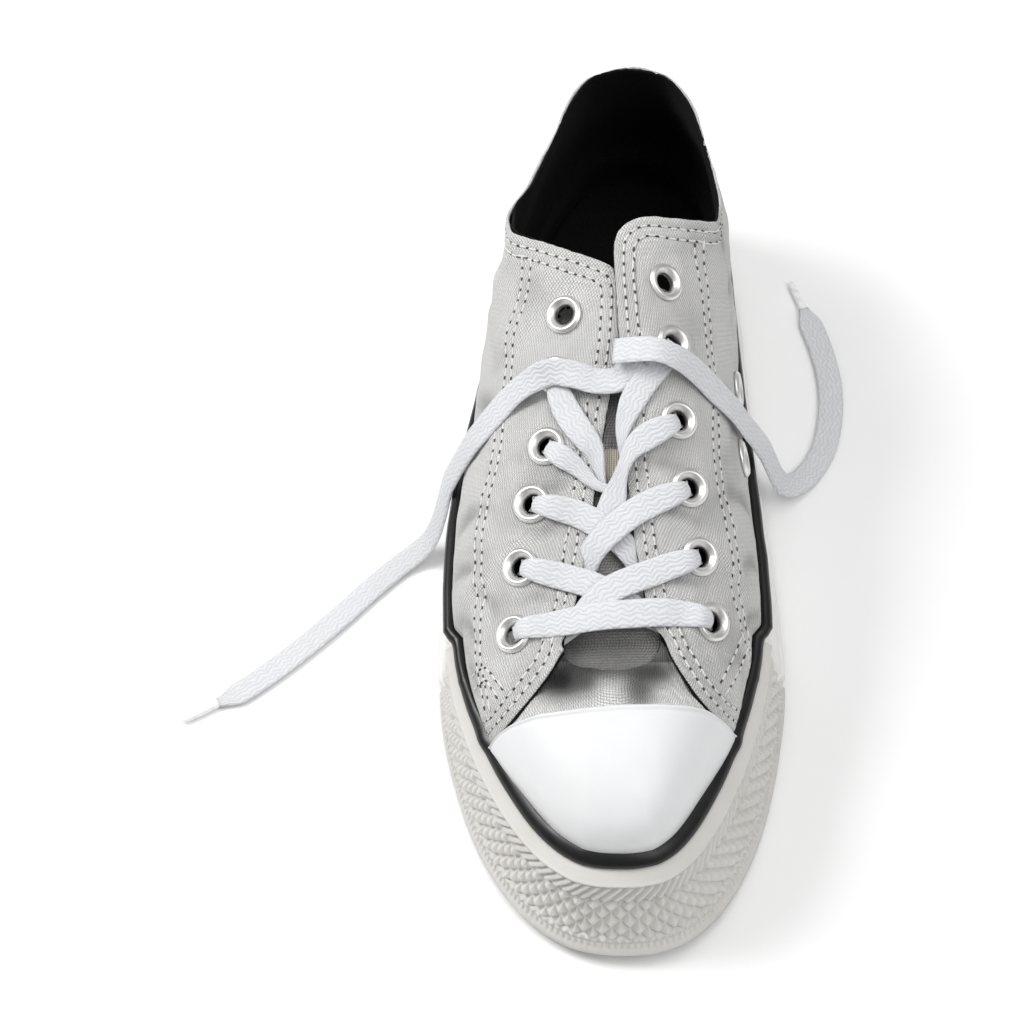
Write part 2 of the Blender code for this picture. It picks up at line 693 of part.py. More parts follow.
def on_upper(turn, rise, reach):
    """Give the matrix of a piece of this reach that lies on the upper, its Z axis outwards."""
    place = upper_skin(turn, rise, LAP * lapped(turn))
    axis = upper_normal(turn, rise)
    turns, rises = np.meshgrid(turn + np.linspace(-0.02, 0.02, 41), np.clip(rise + np.linspace(-0.3, 0.3, 41), 0, 1))
    away = upper_skin(turns, rises, LAP * lapped(turns)) - place
    height = away @ axis
    near = np.linalg.norm(away - height[..., None] * axis, axis=-1) < reach
    place = place + axis * max(0.0, float(height[near & (height < reach)].max()))
    lean = Vector(axis).to_track_quat("Z", "Y")
    return Matrix.Translation(Vector(place)) @ lean.to_matrix().to_4x4()


def eyelet_places():
    """Give the name and matrix of each eyelet, from the throat up, and of the vents."""
    places = {}
    for side, word, column in ((-1, "lateral", 0), (1, "medial", 2)):
        for row, values in enumerate(EYELETS, 1):
            foot, rise = values[column:column + 2]
            places[f"eyelet_{word}_{row}"] = on_upper(side_turn(side, foot), rise, EYELET_WIDTH / 2)
    for count, (foot, rise) in enumerate(VENTS, 1):
        places[f"vent_eyelet_{count}"] = on_upper(side_turn(1, foot), rise, EYELET_WIDTH / 2)
    return places


def make_hole(place, home, canvas):
    """Cutter for an eyelet's hole through the canvas."""
    bpy.ops.mesh.primitive_cylinder_add(vertices=8, radius=EYELET_HOLE / 2 + BARREL_WALL + 2 * GAP, depth=0.010)
    hole = bpy.context.active_object
    hole.name = "hole"
    hole.matrix_world = place
    hole.hide_render = True
    hole.display_type = "WIRE"
    for group in list(hole.users_collection):
        group.objects.unlink(hole)
    home.objects.link(hole)
    return hole


def make_eyelet(name, place, metal, home):
    """Rolled ring with a short barrel through the canvas, turned round its axis."""
    bore, barrel = EYELET_HOLE / 2, EYELET_HOLE / 2 + BARREL_WALL
    edge = EYELET_WIDTH / 2
    profile = (
        (bore, -WALL),
        (bore, EYELET_SEAT + 0.7 * EYELET_LIP),
        (0.5 * (bore + edge), EYELET_SEAT + EYELET_LIP),
        (edge, EYELET_SEAT),
        (barrel, EYELET_SEAT),
        (barrel, -WALL),
    )
    mesh = bpy.data.meshes.new(name)
    edges = [(here, (here + 1) % len(profile)) for here in range(len(profile))]
    mesh.from_pydata([(out, 0.0, up) for out, up in profile], edges, [])
    mesh.materials.append(metal)
    ring = bpy.data.objects.new(name, mesh)
    home.objects.link(ring)
    turn = ring.modifiers.new("turn", "SCREW")
    turn.axis = "Z"
    turn.angle = 2 * math.pi
    turn.steps = 10
    turn.render_steps = 10
    turn.use_merge_vertices = True
    turn.merge_threshold = 0.00001
    ring.matrix_world = place
    return ring


def make_toe_cap(home, rubber):
    """Smooth cap over the front of the vamp, from the stripe to its rear edge."""
    foots = foot_of(upper_turns())
    foots = np.unique(np.append(foots[foots > CAP_CORNER_FOOT + 0.005], CAP_CORNER_FOOT))
    turns = np.concatenate([foots / 2, 1 - foots[-2::-1] / 2])
    rear = []
    for turn in turns:
        rises = np.linspace(0.03, 0.97, 95)
        line = upper_base(turn, rises)
        middle = PLAN[-1][1] * BALL_WIDTH
        swing = ((line[:, 0] - middle) / (0.34 * BALL_WIDTH)) ** 2
        limit = LENGTH * (0.5 - CAP_STATION - CAP_CORNERS * swing)
        past = np.nonzero(line[:, 1] > limit)[0]
        rear.append(rises[past[0]] if len(past) else 0.97)
    rear = np.maximum(np.array(rear), 0.08)
    rows = np.linspace(0, 1, 6)[None, :]
    start = 0.012
    rises = start + (rear[:, None] - start) * rows
    outer = upper_skin(turns[:, None], rises, np.full(rises.shape, CAP_CLEARANCE + CAP_WALL))
    inner = upper_skin(turns[:, None], rises, np.full(rises.shape, CAP_CLEARANCE))
    outer[:, 0, 2] += GAP
    inner[:, 0, 2] += GAP
    return shell("toe_cap", outer, inner, rubber, home, closed=False)


def tongue_point(station, across, lift):
    """Give a point of the tongue: across runs from -1 lateral to 1 medial."""
    rows = np.array(TONGUE)[::-1]
    out = follow(station, rows[:, 0], rows[:, 1]) * BALL_WIDTH
    ridge = follow(station, rows[:, 0], rows[:, 2]) * INSTEP_HEIGHT
    half = follow(station, rows[:, 0], rows[:, 3]) * TONGUE_WIDTH / 2
    place = np.stack([
        out + half * across,
        LENGTH * (0.5 - station) + 0 * across,
        ridge - TONGUE_DROP * half * 2 * across ** 2 + lift,
    ], axis=-1)
    return place


def make_tongue(home, canvas):
    """Tongue from under the vamp's rear edge up to the collar, arched over the instep."""
    stations = np.linspace(TONGUE[0][0], TONGUE[-1][0], 11)[:, None]
    across = np.linspace(-1, 1, 7)[None, :]
    stations, across = np.broadcast_arrays(stations, across)
    top = tongue_point(stations, across, 0.0)
    low = tongue_point(stations, across, -TONGUE_WALL)
    return shell("tongue", top, low, canvas, home, closed=False)


def make_tongue_loop(home, webbing):
    """Short woven keeper across the tongue, for the lace."""
    width, reach, thickness, rise = 0.0075, 0.0105, 0.0009, 0.0012
    station = 0.585
    sections = []
    for part in np.linspace(-1, 1, 7):
        middle = tongue_point(np.array(station), np.array(0.0), 0.0)
        up = GAP + rise * (1 - part ** 4)
        slope = part * reach / 2
        fall = slope * (TONGUE[2][2] - TONGUE[3][2]) * INSTEP_HEIGHT / ((TONGUE[2][0] - TONGUE[3][0]) * LENGTH)
        base = middle + np.array([0, slope, -fall + up])
        sections.append([
            base + np.array([-width / 2, 0, 0]), base + np.array([width / 2, 0, 0]),
            base + np.array([width / 2, 0, thickness]), base + np.array([-width / 2, 0, thickness]),
        ])
    return loft("tongue_loop", sections, webbing, home, closed=False)


def ribbon(name, points, normals, widths, material, home):
    """Flat strand along a path, thicker in the middle than at its edges."""
    sections = []
    for here, point in enumerate(points):
        way = points[min(here + 1, len(points) - 1)] - points[max(here - 1, 0)]
        side = np.cross(way, normals[here])
        side /= np.linalg.norm(side)
        up = np.cross(side, way / np.linalg.norm(way))
        loop = []
        for out, rise in ((-1, 0), (-0.75, -1), (0.75, -1), (1, 0), (0.75, 1), (-0.75, 1)):
            loop.append(point + side * out * widths[here] / 2 + up * rise * LACE_THICKNESS / 2)
        sections.append(loop)
    return loft(name, sections, material, home, closed=False)


def strand_route(side, row):
    """Route of a strand from over its eyelet to the edge of its flap."""
    column = 0 if side < 0 else 2
    foot, rise = EYELETS[row - 1][column:column + 2]
    edge_foot = LACE_ROWS[row - 1][0 if side < 0 else 1]
    over_eyelet = EYELET_SEAT + EYELET_LIP + LACE_CLEAR
    points, normals = [], []
    for share in (0.0, 0.30, 0.65, 1.0):
        turn = side_turn(side, foot + (edge_foot - foot) * share)
        up = rise + (1.0 - rise) * share
        clear = over_eyelet if share < 0.5 else LACE_CLEAR
        points.append(upper_skin(turn, up, LAP + clear + LACE_THICKNESS / 2))
        normals.append(upper_normal(turn, up))
    return points, normals


def make_lace_bar(home, cotton):
    """Straight bar of lace between the lowest eyelets, slightly arched over the throat."""
    left, left_normals = strand_route(-1, 1)
    right, right_normals = strand_route(1, 1)
    middle = 0.5 * (left[-1] + right[-1]) + np.array([0, 0, 0.6 * LACE_THICKNESS])
    points = left + [middle] + right[::-1]
    normals = left_normals + [0.5 * (left_normals[-1] + right_normals[-1])] + right_normals[::-1]
    ribbon("lace_row_1", points, normals, [LACE_WIDTH] * len(points), cotton, home)


def make_lace_cross(row, home, cotton):
    """Two strands that cross over the throat, joined where they meet."""
    share, slope, reach = LACE_ROWS[row - 1][2:]
    narrow = share * LACE_WIDTH
    strands = []
    for side in (-1, 1):
        points, normals = strand_route(side, row)
        other = strand_route(-side, row)[0][-1]
        way = other - points[-1]
        way[1] -= slope * np.linalg.norm(way)
        lift = np.array([0, 0, LACE_THICKNESS * 0.8 if side > 0 else 0.0])
        points += [points[-1] + 0.5 * way + lift, points[-1] + reach * way + 0.5 * lift]
        normals += [normals[-1], normals[-1]]
        widths = list(np.linspace(LACE_WIDTH, narrow, len(points)))
        strands.append(ribbon(f"lace_row_{row}", points, normals, widths, cotton, home))
    combine(strands[0], strands[1:], "UNION")


def lay_normal(point):
    """Say which way a free lace faces: out from the shoe on it, and up on the floor."""
    centre = np.array([0.0, point[1], 0.035])
    out = (point - centre) * np.array([1, 0, 1])
    out[2] = max(out[2], 0.0)
    out /= np.linalg.norm(out)
    share = min(1.0, point[2] / 0.012)
    return share * out + (1 - share) * np.array([0, 0, 1])


def make_lace_end(word, route, home, cotton, plastic):
    """Free end of the lace as a flat curve, with its aglet."""
    route = np.array(route) * MILLIMETRE
    run = np.linalg.norm(np.diff(route, axis=0), axis=1).sum()
    points = round_curve(route, int(round(run / CORD_SPACING)) + 1)
    curve = bpy.data.curves.new(f"lace_end_{word}", "CURVE")
    curve.dimensions = "3D"
    curve.twist_mode = "Z_UP"
    curve.fill_mode = "FULL"
    curve.use_fill_caps = True
    curve.bevel_depth = LACE_THICKNESS / 2
    curve.bevel_resolution = 0
    curve.extrude = (LACE_WIDTH - LACE_THICKNESS) / 2
    spline = curve.splines.new("POLY")
    spline.points.add(len(points) - 1)
    for here, place in enumerate(points):
        way = points[min(here + 1, len(points) - 1)] - points[max(here - 1, 0)]
        way /= np.linalg.norm(way)
        up = np.array([0, 0, 1]) - way[2] * way
        up /= np.linalg.norm(up)
        face = lay_normal(place)
        spline.points[here].co = (*place, 1.0)
        spline.points[here].tilt = math.pi / 2 + math.atan2(face @ np.cross(way, up), face @ up)
    curve.materials.append(cotton)
    home.objects.link(bpy.data.objects.new(f"lace_end_{word}", curve))
    way = points[-1] - points[-2]
    way[2] = 0.0
    way /= np.linalg.norm(way)
    start = points[-1] + way * GAP
    make_aglet(f"aglet_{word}", start, start + way * AGLET_LENGTH, home, plastic)


def make_aglet(name, start, end, home, plastic):
    """Round plastic tip of a lace, tapered at its end."""
    curve = bpy.data.curves.new(name, "CURVE")
    curve.dimensions = "3D"
    curve.use_fill_caps = True
    curve.bevel_depth = AGLET_WIDTH / 2
    curve.bevel_resolution = 2
    spline = curve.splines.new("POLY")
    spline.points.add(2)
    for point, place, radius in zip(spline.points, (start, start + 0.75 * (end - start), end), (1.0, 0.95, 0.55)):
        point.co = (*place, 1.0)
        point.radius = radius
    curve.materials.append(plastic)
    home.objects.link(bpy.data.objects.new(name, curve))


def main():
    """Build the shoe."""
    clear_scene()
    home = collection("canvas_sneaker")
    cutters = collection("cutters")
    canvas = finish("canvas", (0.72, 0.70, 0.67), 0.9)
    rubber = finish("white rubber", (0.80, 0.79, 0.76), 0.55)
    stripe = finish("black rubber", (0.012, 0.012, 0.013), 0.3)
    cap = finish("cap rubber", (0.86, 0.86, 0.85), 0.45)
    lining = finish("black lining", (0.012, 0.012, 0.013), 0.95)
    metal = finish("nickel", (0.75, 0.75, 0.73), 0.22, 1.0)
    webbing = finish("webbing", (0.62, 0.58, 0.50), 0.9)
    make_outsole(home, cutters, rubber)
    make_midsole(home, rubber)
    make_insole(home, lining)
    make_foxing(home, rubber)
    make_stripe(home, stripe)
    make_rib_band(home, rubber)
    make_bumper(home, rubber)
    make_upper(home, cutters, canvas)
    make_toe_cap(home, cap)
    make_tongue(home, canvas)
    make_tongue_loop(home, webbing)
    for name, place in eyelet_places().items():
        make_eyelet(name, place, metal, home)
    cotton = finish("lace cotton", (0.82, 0.83, 0.86), 0.9)
    plastic = finish("aglet plastic", (0.85, 0.85, 0.83), 0.25)
    make_lace_bar(home, cotton)
    for row in range(2, len(LACE_ROWS) + 1):
        make_lace_cross(row, home, cotton)
    make_lace_end("lateral", LATERAL_END, home, cotton, plastic)
    make_lace_end("medial", MEDIAL_END, home, cotton, plastic)


main()
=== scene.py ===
"""The canvas sneaker's looks: one right shoe on a pale floor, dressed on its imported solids."""

import math

import bmesh
import bpy
import numpy as np
from mathutils import Matrix, Vector
from mathutils.kdtree import KDTree


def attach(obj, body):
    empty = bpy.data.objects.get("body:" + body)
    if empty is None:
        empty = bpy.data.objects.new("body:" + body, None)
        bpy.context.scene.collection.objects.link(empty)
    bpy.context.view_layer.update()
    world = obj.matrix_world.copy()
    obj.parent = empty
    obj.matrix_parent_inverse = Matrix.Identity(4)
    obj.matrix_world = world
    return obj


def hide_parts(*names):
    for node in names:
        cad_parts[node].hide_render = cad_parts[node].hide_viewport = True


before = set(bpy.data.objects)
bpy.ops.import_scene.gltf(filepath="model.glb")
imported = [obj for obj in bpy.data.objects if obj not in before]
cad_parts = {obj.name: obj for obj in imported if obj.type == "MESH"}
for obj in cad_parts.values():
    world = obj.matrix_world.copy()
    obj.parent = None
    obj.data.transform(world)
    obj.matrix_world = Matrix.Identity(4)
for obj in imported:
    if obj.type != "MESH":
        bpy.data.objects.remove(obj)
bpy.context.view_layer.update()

# Driving sizes of the shoe
LENGTH = 0.278
BALL_WIDTH = 0.108
INSTEP_HEIGHT = 0.105
HEEL_HEIGHT = 0.089

# Sole
TOE_WALL = 0.0355
WAIST_WALL = 0.0355
HEEL_WALL = 0.0375
TOE_SPRING = 0.0045
ARCH_RISE = 0.0014
FOXING = 0.0030
FOXING_STEP = 0.0006
BUMPER = 0.0022
BUMPER_FOOT = 0.655
BUMPER_RAMP = 0.012

# Upper
WALL = 0.0018
LAP = 0.0011
CAP_WALL = 0.0015
CAP_CLEARANCE = 0.0008
TONGUE_WALL = 0.0024
TONGUE_WIDTH = 0.044

# Eyelets and lace
EYELET_WIDTH = 0.0115
EYELET_HOLE = 0.0058
EYELET_LIP = 0.0011
EYELET_SEAT = 0.0004
LACE_WIDTH = 0.0080
LACE_THICKNESS = 0.0013
AGLET_WIDTH = 0.0026
CORD_SPACING = 0.0066

# Space between pieces that touch
GAP = 0.0003

# Plan of the sole: shares of the length from the heel, and reaches as shares of the ball width
PLAN = (
    # station, medial, lateral
    (0.000, 0.044, 0.044),
    (0.007, 0.155, -0.065),
    (0.029, 0.244, -0.158),
    (0.083, 0.330, -0.250),
    (0.156, 0.375, -0.317),
    (0.246, 0.397, -0.374),
    (0.355, 0.421, -0.426),
    (0.464, 0.450, -0.472),
    (0.536, 0.472, -0.494),
    (0.609, 0.491, -0.500),
    (0.681, 0.500, -0.492),
    (0.754, 0.483, -0.465),
    (0.830, 0.440, -0.403),
    (0.900, 0.377, -0.318),
    (0.952, 0.303, -0.224),
    (0.983, 0.222, -0.128),
    (0.996, 0.143, -0.048),
    (1.000, 0.048, 0.048),
)

# Levels up the side wall, as shares of its height
OUTSOLE_LEVEL = 0.14
FOXING_LOW = 0.05
FOXING_TOP = 0.885
FOOTBED_LEVEL = 0.62

# How far the side wall leans in at its top, as shares of the wall's height
LEAN = (
    # foot, lean
    (0.00, 0.10),
    (0.30, 0.12),
    (0.60, 0.15),
    (0.75, 0.19),
    (0.88, 0.24),
    (1.00, 0.26),
)

# Collar edge: foot is the share of the half outline where the line of canvas starts
# Out is a share of the ball width, station of the length, height of the heel height
COLLAR = (
    # foot, steps, medial out, station, height, lateral out, station, height, arch, bulge
    (0.000, 2, 0.054, 0.054, 1.000, 0.054, 0.054, 1.000, 0.00, 0.056),
    (0.070, 2, 0.152, 0.063, 0.996, -0.046, 0.063, 0.996, 0.00, 0.054),
    (0.135, 2, 0.222, 0.094, 0.980, -0.112, 0.098, 0.980, 0.02, 0.048),
    (0.200, 2, 0.266, 0.140, 0.961, -0.162, 0.150, 0.961, 0.05, 0.040),
    (0.270, 2, 0.297, 0.198, 0.955, -0.214, 0.207, 0.955, 0.08, 0.030),
    (0.340, 2, 0.315, 0.255, 1.000, -0.262, 0.257, 0.994, 0.14, 0.022),
)

# Flaps and throat: the same columns, with heights as shares of the instep height
THROAT = (
    (0.385, 2, 0.306, 0.303, 0.924, -0.255, 0.306, 0.910, 0.26, 0.018),
    (0.420, 1, 0.190, 0.313, 0.976, -0.153, 0.333, 0.938, 0.52, 0.014),
    (0.445, 1, 0.106, 0.317, 0.998, -0.069, 0.350, 0.946, 0.66, 0.012),
    (0.460, 1, 0.051, 0.333, 1.004, 0.032, 0.364, 0.936, 0.70, 0.011),
    (0.478, 2, 0.032, 0.352, 0.995, 0.051, 0.388, 0.914, 0.73, 0.010),
    (0.530, 2, 0.044, 0.419, 0.933, 0.042, 0.446, 0.862, 0.77, 0.009),
    (0.585, 2, 0.058, 0.500, 0.845, 0.011, 0.511, 0.795, 0.82, 0.008),
    (0.635, 2, 0.069, 0.573, 0.760, -0.019, 0.580, 0.717, 0.87, 0.008),
    (0.680, 2, 0.095, 0.652, 0.671, -0.051, 0.663, 0.636, 0.92, 0.010),
    (0.722, 2, 0.134, 0.725, 0.602, -0.085, 0.728, 0.590, 0.98, 0.008),
    (0.772, 1, 0.157, 0.741, 0.589, -0.106, 0.750, 0.579, 1.03, 0.006),
    (0.781, 3, 0.153, 0.750, 0.586, -0.097, 0.757, 0.579, 1.04, 0.006),
    (0.880, 4, 0.100, 0.767, 0.585, -0.032, 0.769, 0.584, 1.14, 0.000),
    (1.000, 0, 0.037, 0.772, 0.584, 0.037, 0.772, 0.584, 1.20, 0.000),
)
SEAM_QUARTER = 0.772
SEAM_VAMP = 0.781

# Eyelets from the throat up: foot and rise of each, on both flaps
EYELETS = (
    # lateral foot, rise, medial foot, rise
    (0.710, 0.635, 0.700, 0.550),
    (0.662, 0.650, 0.660, 0.615),
    (0.624, 0.705, 0.618, 0.675),
    (0.584, 0.745, 0.572, 0.710),
    (0.518, 0.735, 0.512, 0.705),
    (0.468, 0.770, 0.464, 0.750),
)
VENTS = ((0.425, 0.20), (0.500, 0.18))

# Tongue: station as a share of the length, ridge height of the instep height, width of the tongue's
TONGUE = (
    # station, out, ridge, width
    (0.745, 0.030, 0.550, 0.62),
    (0.690, 0.028, 0.588, 0.68),
    (0.600, 0.026, 0.672, 0.78),
    (0.500, 0.024, 0.768, 0.88),
    (0.400, 0.026, 0.845, 0.96),
    (0.330, 0.030, 0.893, 1.00),
    (0.300, 0.032, 0.910, 0.90),
)
TONGUE_DROP = 0.24

# Free lace ends: points listed in millimetres
LATERAL_END = (
    (4.8, 2.4, 89.0), (0.0, 2.2, 89.9), (-4.0, 3.0, 90.8), (-8.4, 3.8, 91.8), (-12.8, 5.0, 91.7),
    (-18.6, 5.2, 88.9), (-24.3, 5.4, 82.8), (-28.4, 4.7, 77.8), (-31.4, 3.3, 74.4), (-35.2, 1.6, 69.6),
    (-39.2, 0.6, 63.8), (-43.0, 0.4, 55.8), (-46.6, 1.4, 46.0), (-49.9, 2.2, 36.5), (-52.8, 2.0, 24.0),
    (-56.2, 1.2, 12.0), (-60.5, -1.0, 4.8), (-67.0, -4.8, 1.8), (-76.0, -13.6, 1.2),
    (-87.6, -26.5, 1.2), (-100.8, -39.8, 1.2), (-113.5, -50.6, 1.2), (-121.5, -55.6, 1.5),
)
MEDIAL_END = (
    (3.6, 8.4, 96.6), (5.9, 7.6, 97.4), (10.9, 7.2, 99.3), (16.4, 6.8, 99.3), (22.7, 6.4, 95.2),
    (27.9, 6.6, 88.0), (31.3, 6.1, 82.4), (34.9, 5.9, 76.4), (38.5, 7.0, 68.4), (42.1, 9.4, 56.5),
    (45.6, 12.3, 45.0), (48.2, 14.2, 36.0), (50.8, 16.0, 24.0), (53.6, 18.5, 12.0), (57.8, 22.5, 4.6),
    (63.0, 29.0, 1.7), (67.6, 38.0, 1.2), (70.2, 50.0, 1.2), (70.6, 62.0, 1.2), (69.0, 74.0, 1.2),
    (65.8, 86.0, 1.2), (62.6, 95.0, 1.5),
)
MILLIMETRE = 0.001


def slopes(knots, values, level_ends):
    """Give slopes that keep a curve through the values from swinging past them."""
    steps = np.diff(knots)
    rates = np.diff(values) / steps
    inner = np.zeros(len(knots))
    same = rates[:-1] * rates[1:] > 0
    near, far = steps[:-1] + 2 * steps[1:], 2 * steps[:-1] + steps[1:]
    with np.errstate(divide="ignore", invalid="ignore"):
        mean = (near + far) / (near / rates[:-1] + far / rates[1:])
    inner[1:-1] = np.where(same, mean, 0.0)
    if not level_ends:
        inner[0], inner[-1] = rates[0], rates[-1]
    return inner


def follow(places, knots, values, level_ends=False):
    """Read a smooth curve through the values at the places, level at both ends if asked."""
    knots, values = np.asarray(knots, float), np.asarray(values, float)
    places = np.asarray(places, float)
    turn = slopes(knots, values, level_ends)
    low = np.clip(np.searchsorted(knots, places, side="right") - 1, 0, len(knots) - 2)
    step = knots[low + 1] - knots[low]
    part = (places - knots[low]) / step
    return (
        values[low] * (1 + 2 * part) * (1 - part) ** 2
        + turn[low] * step * part * (1 - part) ** 2
        + values[low + 1] * part ** 2 * (3 - 2 * part)
        + turn[low + 1] * step * part ** 2 * (part - 1)
    )


def round_curve(points, count, closed=False):
    """Sample a smooth curve through the points at an even spacing."""
    points = np.asarray(points, float)
    if closed:
        loop = np.vstack([points[-1:], points, points[:2]])
    else:
        loop = np.vstack([2 * points[0] - points[1], points, 2 * points[-1] - points[-2]])
    dense = []
    for before, start, end, after in zip(loop, loop[1:], loop[2:], loop[3:]):
        part = np.linspace(0, 1, 24, endpoint=False)[:, None]
        dense.append(0.5 * (
            2 * start + (end - before) * part
            + (2 * before - 5 * start + 4 * end - after) * part ** 2
            + (3 * start - before - 3 * end + after) * part ** 3
        ))
    dense = np.vstack(dense + [loop[-2:-1]])
    run = np.concatenate([[0], np.cumsum(np.linalg.norm(np.diff(dense, axis=0), axis=1))])
    wanted = np.linspace(0, run[-1], count, endpoint=not closed)
    return np.stack([np.interp(wanted, run, dense[:, axis]) for axis in range(points.shape[1])], axis=1)


def plan_outline():
    """Trace the sole's outline from the heel round the medial side, with its turns."""
    rows = np.array(PLAN)
    along = LENGTH * (0.5 - rows[:, 0])
    medial = np.stack([rows[:, 1] * BALL_WIDTH, along], axis=1)
    lateral = np.stack([rows[:, 2] * BALL_WIDTH, along], axis=1)[-2:0:-1]
    dense = round_curve(np.vstack([medial, lateral]), 1200, closed=True)
    run = np.concatenate([[0], np.cumsum(np.linalg.norm(np.diff(dense, axis=0), axis=1))])
    tip = int(np.argmin(np.linalg.norm(dense - medial[-1], axis=1)))
    whole = run[-1] + np.linalg.norm(dense[0] - dense[-1])
    turns = np.where(run <= run[tip], 0.5 * run / run[tip], 0.5 + 0.5 * (run - run[tip]) / (whole - run[tip]))
    return turns, dense, whole


PLAN_TURNS, PLAN_POINTS, PLAN_LENGTH = plan_outline()


def foot_of(turn):
    """Turn into the share of the half outline from heel to toe."""
    turn = np.mod(turn, 1.0)
    return 1 - np.abs(2 * turn - 1)


def plan_at(turn):
    """Give the outline point at a turn."""
    turn = np.mod(turn, 1.0)
    knots = np.append(PLAN_TURNS, 1.0)
    ring = np.vstack([PLAN_POINTS, PLAN_POINTS[:1]])
    return np.stack([np.interp(turn, knots, ring[:, axis]) for axis in (0, 1)], axis=-1)


def outward_at(turn):
    """Give the outline's outward direction at a turn."""
    reach = 0.006
    way = plan_at(turn + reach) - plan_at(turn - reach)
    way /= np.linalg.norm(way, axis=-1, keepdims=True)
    return np.stack([-way[..., 1], way[..., 0]], axis=-1)


def station_of(turn):
    """Give the share of the length from the heel at a turn."""
    return 0.5 - plan_at(turn)[..., 1] / LENGTH


def sole_bottom(station):
    """Height of the tread: flat heel and ball, a raised arch and toe spring."""
    toe = np.clip((station - 0.79) / 0.21, 0, 1)
    arch = np.clip((station - 0.33) / 0.24, 0, 1)
    return TOE_SPRING * toe ** 2 + ARCH_RISE * np.sin(math.pi * arch) ** 2


def wall_top(station):
    """Height of the side wall's top edge."""
    wall = follow(station, (0.0, 0.18, 0.50, 0.72, 0.88, 1.0),
                  (HEEL_WALL, HEEL_WALL, WAIST_WALL, TOE_WALL, TOE_WALL, TOE_WALL))
    toe = np.clip((station - 0.79) / 0.21, 0, 1)
    return wall + TOE_SPRING * toe ** 2


def side_wall(turn, level, depth):
    """Give the point of the side wall at a level, a depth inside its face."""
    turn = np.asarray(turn, float)
    rows = np.array(LEAN)
    station = station_of(turn)
    low, top = sole_bottom(station), wall_top(station)
    lean = follow(foot_of(turn), rows[:, 0], rows[:, 1]) * (top - low)
    place = plan_at(turn) - outward_at(turn) * (lean * level + depth)[..., None]
    return np.concatenate([place, (low + (top - low) * level)[..., None]], axis=-1)


def side_ramp(turn):
    """Rise from 0 behind the toe bumper to 1 under it."""
    return np.clip((foot_of(turn) - BUMPER_FOOT + BUMPER_RAMP) / BUMPER_RAMP + 0.02, 0, 1)


def face_depth(turn):
    """Depth of the foxing's face, which gives way under the toe bumper."""
    return side_ramp(turn) * (BUMPER + GAP)


def upper_tables():
    """Join the collar and throat rows, with heights and lengths in metres."""
    rows = []
    for table, height in ((COLLAR, HEEL_HEIGHT), (THROAT, INSTEP_HEIGHT)):
        for foot, steps, out, along, up, out_two, along_two, up_two, arch, bulge in table:
            medial = (out * BALL_WIDTH, (0.5 - along) * LENGTH, up * height)
            lateral = (out_two * BALL_WIDTH, (0.5 - along_two) * LENGTH, up_two * height)
            rows.append((foot, steps, medial, lateral, arch, bulge * HEEL_HEIGHT))
    return rows


UPPER_ROWS = upper_tables()


def knotted_edge(turn):
    """Give the point of the collar and throat edge, the arch and the bulge at a turn, before smoothing."""
    turn = np.mod(np.asarray(turn, float), 1.0)
    foots = [row[0] for row in UPPER_ROWS]
    share = foot_of(turn)
    sides = []
    for side in (2, 3):
        columns = [[row[side][axis] for row in UPPER_ROWS] for axis in range(3)]
        sides.append(np.stack([follow(share, foots, columns[axis], axis > 0) for axis in range(3)], axis=-1))
    edge = np.where((turn <= 0.5)[..., None], sides[0], sides[1])
    arch = follow(share, foots, [row[4] for row in UPPER_ROWS], True)
    bulge = follow(share, foots, [row[5] for row in UPPER_ROWS], True)
    return edge, arch, bulge


def upper_base(turn, rise):
    """Give the canvas surface: rise runs from the top of the side wall to the opening edge.

    A rise below 0 runs down inside the foxing to the footbed at -1.
    """
    turn, rise = np.broadcast_arrays(np.asarray(turn, float), np.asarray(rise, float))
    edge, arch, bulge = opening_edge(turn)
    level = 1 + np.minimum(rise, 0) * (1 - FOOTBED_LEVEL - 2 * GAP / WAIST_WALL)
    start = side_wall(turn, level, face_depth(turn) + FOXING + 2 * GAP)
    up = np.clip(rise, 0, 1)
    quarter = up * math.pi / 2
    inward = (1 - arch) * up + arch * (1 - np.cos(quarter))
    upward = (1 - arch) * up + arch * np.sin(quarter)
    swell = bulge * np.sin(math.pi * np.sqrt(up)) ** 2
    place = start[..., :2] + (edge[..., :2] - start[..., :2]) * inward[..., None]
    place = place + outward_at(turn) * swell[..., None]
    height = start[..., 2] + (edge[..., 2] - start[..., 2]) * upward
    return np.concatenate([place, height[..., None]], axis=-1)


def upper_normal(turn, rise):
    """Give the canvas surface's outward direction."""
    turn, rise = np.broadcast_arrays(np.asarray(turn, float), np.asarray(rise, float))
    across = upper_base(turn + 0.004, rise) - upper_base(turn - 0.004, rise)
    low, high = np.clip(rise - 0.05, -1, 0.9), np.clip(rise + 0.05, -0.9, 1)
    up = upper_base(turn, high) - upper_base(turn, low)
    normal = np.cross(up, across)
    return normal / np.linalg.norm(normal, axis=-1, keepdims=True)


def upper_skin(turn, rise, lift):
    """Give the point a lift outside the canvas surface."""
    turn, rise = np.broadcast_arrays(np.asarray(turn, float), np.asarray(rise, float))
    return upper_base(turn, rise) + upper_normal(turn, rise) * np.asarray(lift, float)[..., None]


def lapped(turn):
    """Say where the quarters lie over the vamp: 1 on them, 0 on the vamp."""
    return (foot_of(turn) < 0.5 * (SEAM_QUARTER + SEAM_VAMP)).astype(float)


